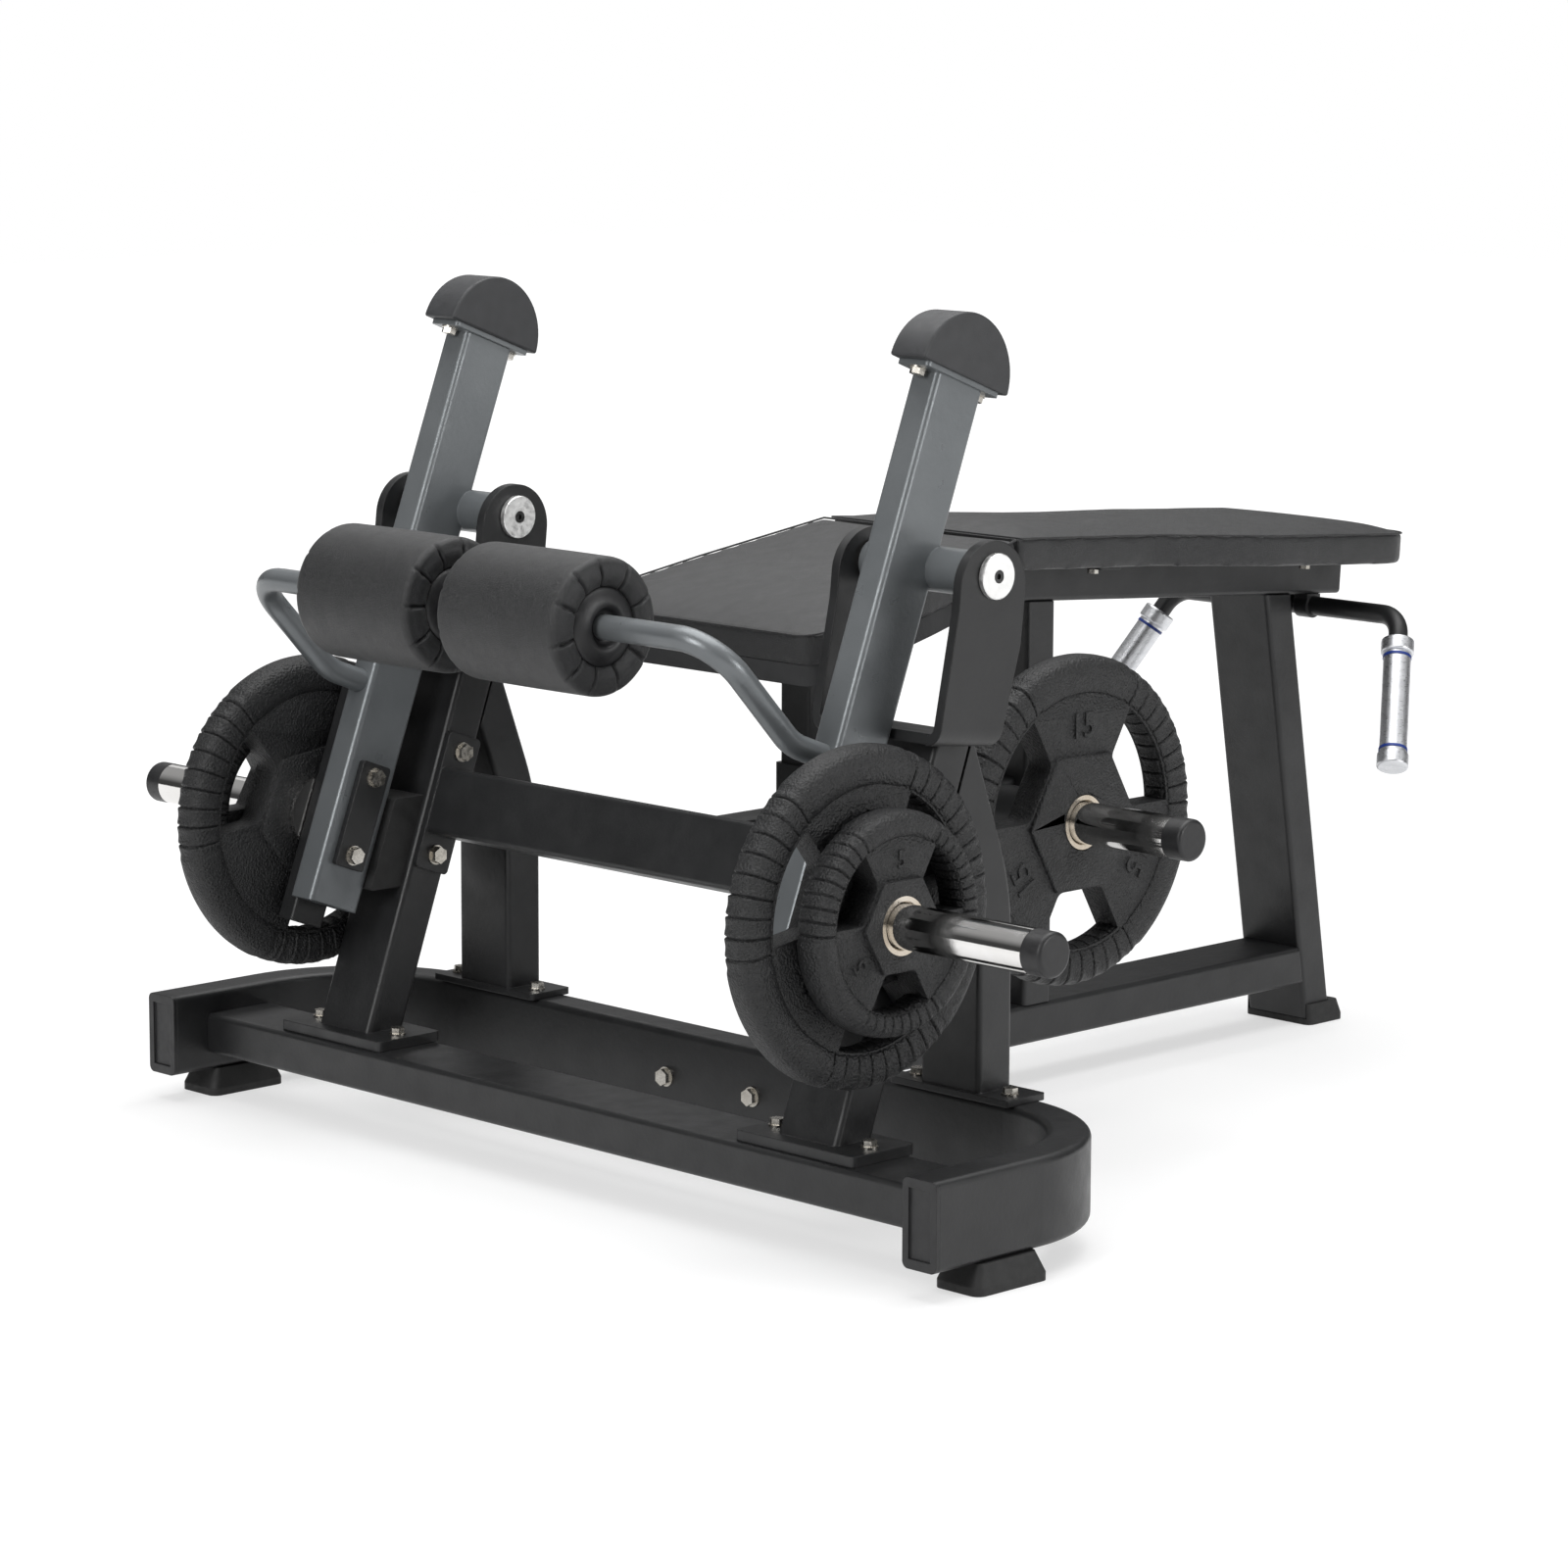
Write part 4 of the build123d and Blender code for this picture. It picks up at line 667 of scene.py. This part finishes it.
def make_roller_hubs(side, centre, half, materials):
    """The dished plastic hubs in a roller's ends."""
    shape = [(BAR_BORE, -22), (BAR_BORE, -5), (18 * MM, -4.4), (20 * MM, -2.5), (21.5 * MM, 1.5),
             (24 * MM, 3.6), (28 * MM, 3.8), (34 * MM, 2.2), (40 * MM, -0.6), (43.5 * MM, -3),
             (HUB_EDGE, -6), (HUB_EDGE, -22)]
    hubs = []
    for end in (1, -1):
        rings = []
        for r, y in shape:
            rings.append([centre + Vector((r * x, end * (half + y * MM), r * z))
                          for x, z in circle(1, 96)])
        if end == 1:
            rings.reverse()
        hubs.append(ring_mesh("hub", rings, closed=True))
    hub = joined("roller_hub_" + side, hubs)
    hub.data.set_sharp_from_angle(angle=math.radians(50))
    finish_piece(hub, "roller_" + side, "black_plastic", materials["black_plastic"],
                 "roller_hubs_" + side)


# ------------------------------------------------------------------ weight plates
RIM_RATIO = 0.75
HUB_FLAT_RATIO = 0.4
WEB_THICKNESS = 36 * MM
RIM_POINTS = 30
GROOVE_STEP = 7.2                    # degrees
GROOVES = 9
RING_HOLE = 32.4 * MM


def facing_out(centre, sign):
    """From a plate's own frame, Z out of its outer face and Y up, to its place."""
    columns = (Vector((-sign, 0, 0)), Vector((0, 0, 1)), Vector((0, sign, 0)))
    turn = Matrix(columns).transposed().to_4x4()
    return Matrix.Translation(centre) @ turn


def window_outline(radius, angle):
    inner = HUB_FLAT_RATIO * radius + 2 * MM
    outer = RIM_RATIO * radius + 4 * MM
    half = 0.185 * radius
    flare = math.radians(30)
    reach = inner * math.cos(flare) + half * math.sin(flare)
    step = -reach + math.sqrt(reach ** 2 + outer ** 2 - inner ** 2 - half ** 2)
    corner = Vector((inner + step * math.cos(flare), half + step * math.sin(flare)))
    swing = math.atan2(corner.y, corner.x)
    points = [Vector((inner, -half)), Vector((inner, half)), corner]
    steps = 24
    for i in range(1, steps):
        a = swing * (1 - 2 * i / steps)
        points.append(Vector((outer * math.cos(a), outer * math.sin(a))))
    points.append(Vector((corner.x, -corner.y)))
    points = rounded(points, 2, 0.05 * radius)
    spin = Matrix.Rotation(angle, 2)
    return [spin @ p for p in reversed(points)]


def rounded(points, corners, radius):
    """The same closed line with its first `corners` points rounded."""
    result = []
    for i in range(corners):
        corner, before, after = points[i], points[i - 1], points[i + 1]
        start = corner + (before - corner).normalized() * radius * 0.8
        end = corner + (after - corner).normalized() * radius * 0.8
        for k in range(6):
            t = k / 5
            result.append(start * (1 - t) ** 2 + corner * 2 * t * (1 - t) + end * t ** 2)
    return result + points[corners:]


def rim_mesh(radius, thickness, turn):
    """A plate's rim. Where it passes a window, it is cut by grooves into finger grips."""
    inner = RIM_RATIO * radius
    mid, half_width, half_height = (radius + inner) / 2, (radius - inner) / 2, thickness / 2
    steps = 8 * round(2 * math.pi * radius / (8 * 1.3 * MM))
    rings = []
    for k in range(steps):
        angle = 360 * k / steps
        local = (angle - turn - 30 + 60) % 120 - 60
        gripped = 1 - smoothstep(32.5, 35.5, abs(local))
        phase = local / GROOVE_STEP
        off = abs(phase - round(phase)) * math.radians(GROOVE_STEP) * mid
        on_groove = abs(round(phase)) <= GROOVES // 2
        groove = math.exp(-(off / (1.2 * MM)) ** 2) * 3.4 * MM if on_groove else 0
        swell_out = gripped * 1.1 * MM * math.cos(math.pi * (phase - round(phase))) ** 2
        dip = gripped * 1.3 * MM - swell_out + groove
        c, s = math.cos(math.radians(angle)), math.sin(math.radians(angle))
        ring = []
        for j in range(RIM_POINTS):
            a = 2 * math.pi * j / RIM_POINTS
            ca, sa = math.cos(a), math.sin(a)
            u = math.copysign(abs(ca) ** 0.72, ca) * (half_width - dip)
            v = math.copysign(abs(sa) ** 0.72, sa) * (half_height - dip)
            ring.append(Vector(((mid + u) * c, (mid + u) * s, v)))
        rings.append(ring)
    return ring_mesh("rim", rings, closed=True)


def make_plate(node, sign, turn, number, materials):
    """One rubber-covered plate: rim, web with three windows, hexagonal hub and numbers."""
    centre = middle(node)
    low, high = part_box(node)
    radius = (high.x - low.x) / 2
    thickness = high.y - low.y
    turn = -sign * turn
    web_radius = RIM_RATIO * radius + 9 * MM
    windows = [window_outline(radius, math.radians(turn + 30 + 120 * k)) for k in range(3)]
    ring_hole = [Vector(p) for p in reversed(circle(RING_HOLE, 64))]
    outlines = [circle(web_radius, 160), ring_hole] + windows
    web = flat_shape("web", outlines, WEB_THICKNESS, 2.5 * MM)
    hub_radius = HUB_FLAT_RATIO * radius / math.cos(math.radians(30))
    spin = Matrix.Rotation(math.radians(turn), 2)
    hexagon = [spin @ Vector(p) for p in circle(hub_radius, 6)]
    hub = flat_shape("hub", [hexagon, ring_hole], thickness, 2.2 * MM)
    shapes = [rim_mesh(radius, thickness, turn), web, hub]
    for k in range(3):
        if not number:
            break
        angle = math.radians(turn - 30 + 120 * k)
        reach = (HUB_FLAT_RATIO + RIM_RATIO) / 2 * radius
        digits = raised_text("digits", number, 0.22 * radius, 3.6 * MM)
        upright = Matrix.Rotation(angle - math.pi / 2, 4, "Z")
        shift = Matrix.Translation((0, reach, WEB_THICKNESS / 2))
        shapes.append(moved(digits, upright @ shift))
    plate = joined(node + "_cover", shapes)
    moved(plate, facing_out(centre, sign))
    plate.data.set_sharp_from_angle(angle=math.radians(60))
    finish_piece(plate, node, "plate_rubber", materials["plate_rubber"], node)


# ------------------------------------------------------------------ handles
GRIP_SLANT = Vector((-0.5625, 0.4167, -1.0))


def make_grip_bands(materials):
    """The blue band at each end of both grips."""
    bands = []
    for _, sign in SIDES:
        slant = Vector((GRIP_SLANT.x, sign * GRIP_SLANT.y, GRIP_SLANT.z)).normalized()
        points = [v.co for v in frame["nodes"]["handle_grips"].data.vertices if v.co.y * sign > 0]
        spans = [p.dot(slant) for p in points]
        low, high = min(spans), max(spans)
        centre = sum(points, Vector()) / len(points)
        radius = max((p - centre - slant * (p - centre).dot(slant)).length for p in points)
        across = slant.cross(Vector((0, 0, 1))).normalized()
        other = slant.cross(across)
        for span in (low + 5 * MM, high - 5 * MM):
            place = centre + slant * (span - centre.dot(slant))
            rings = []
            for r, y in ((-0.3, -2), (0.5, -1.8), (0.5, 1.8), (-0.3, 2)):
                reach = radius + r * MM
                rings.append([place + slant * y * MM + (across * c + other * s) * reach
                              for c, s in circle(1, 64)])
            bands.append(ring_mesh("band", rings, closed=True))
    band = joined("grip_bands", bands)
    band.data.set_sharp_from_angle(angle=math.radians(50))
    finish_piece(band, "frame", "grip_metal", materials["blue_band"])


# ------------------------------------------------------------------ the whole
def make_pieces():
    materials = make_materials()
    dress_nodes(materials)
    make_pad("torso_cushion", "torso_pad", TORSO_SLOPE, 12 * MM, 4 * MM, 9 * MM, 11 * MM,
             materials, "torso_pad", "torso_board")
    make_pad("thigh_cushion", "thigh_pad", THIGH_SLOPE, 0, 4 * MM, 9 * MM, 5 * MM,
             materials, "thigh_pad")
    for side, sign in SIDES:
        make_roller(side, materials)
        make_plate("lever_plate_medium_" + side, sign, 8, "10", materials)
        make_plate("lever_plate_small_" + side, sign, 0, "5", materials)
    make_plate("storage_plate", -1, 0, "15", materials)
    make_grip_bands(materials)


make_camera()
make_world()
make_stage()
make_pieces()
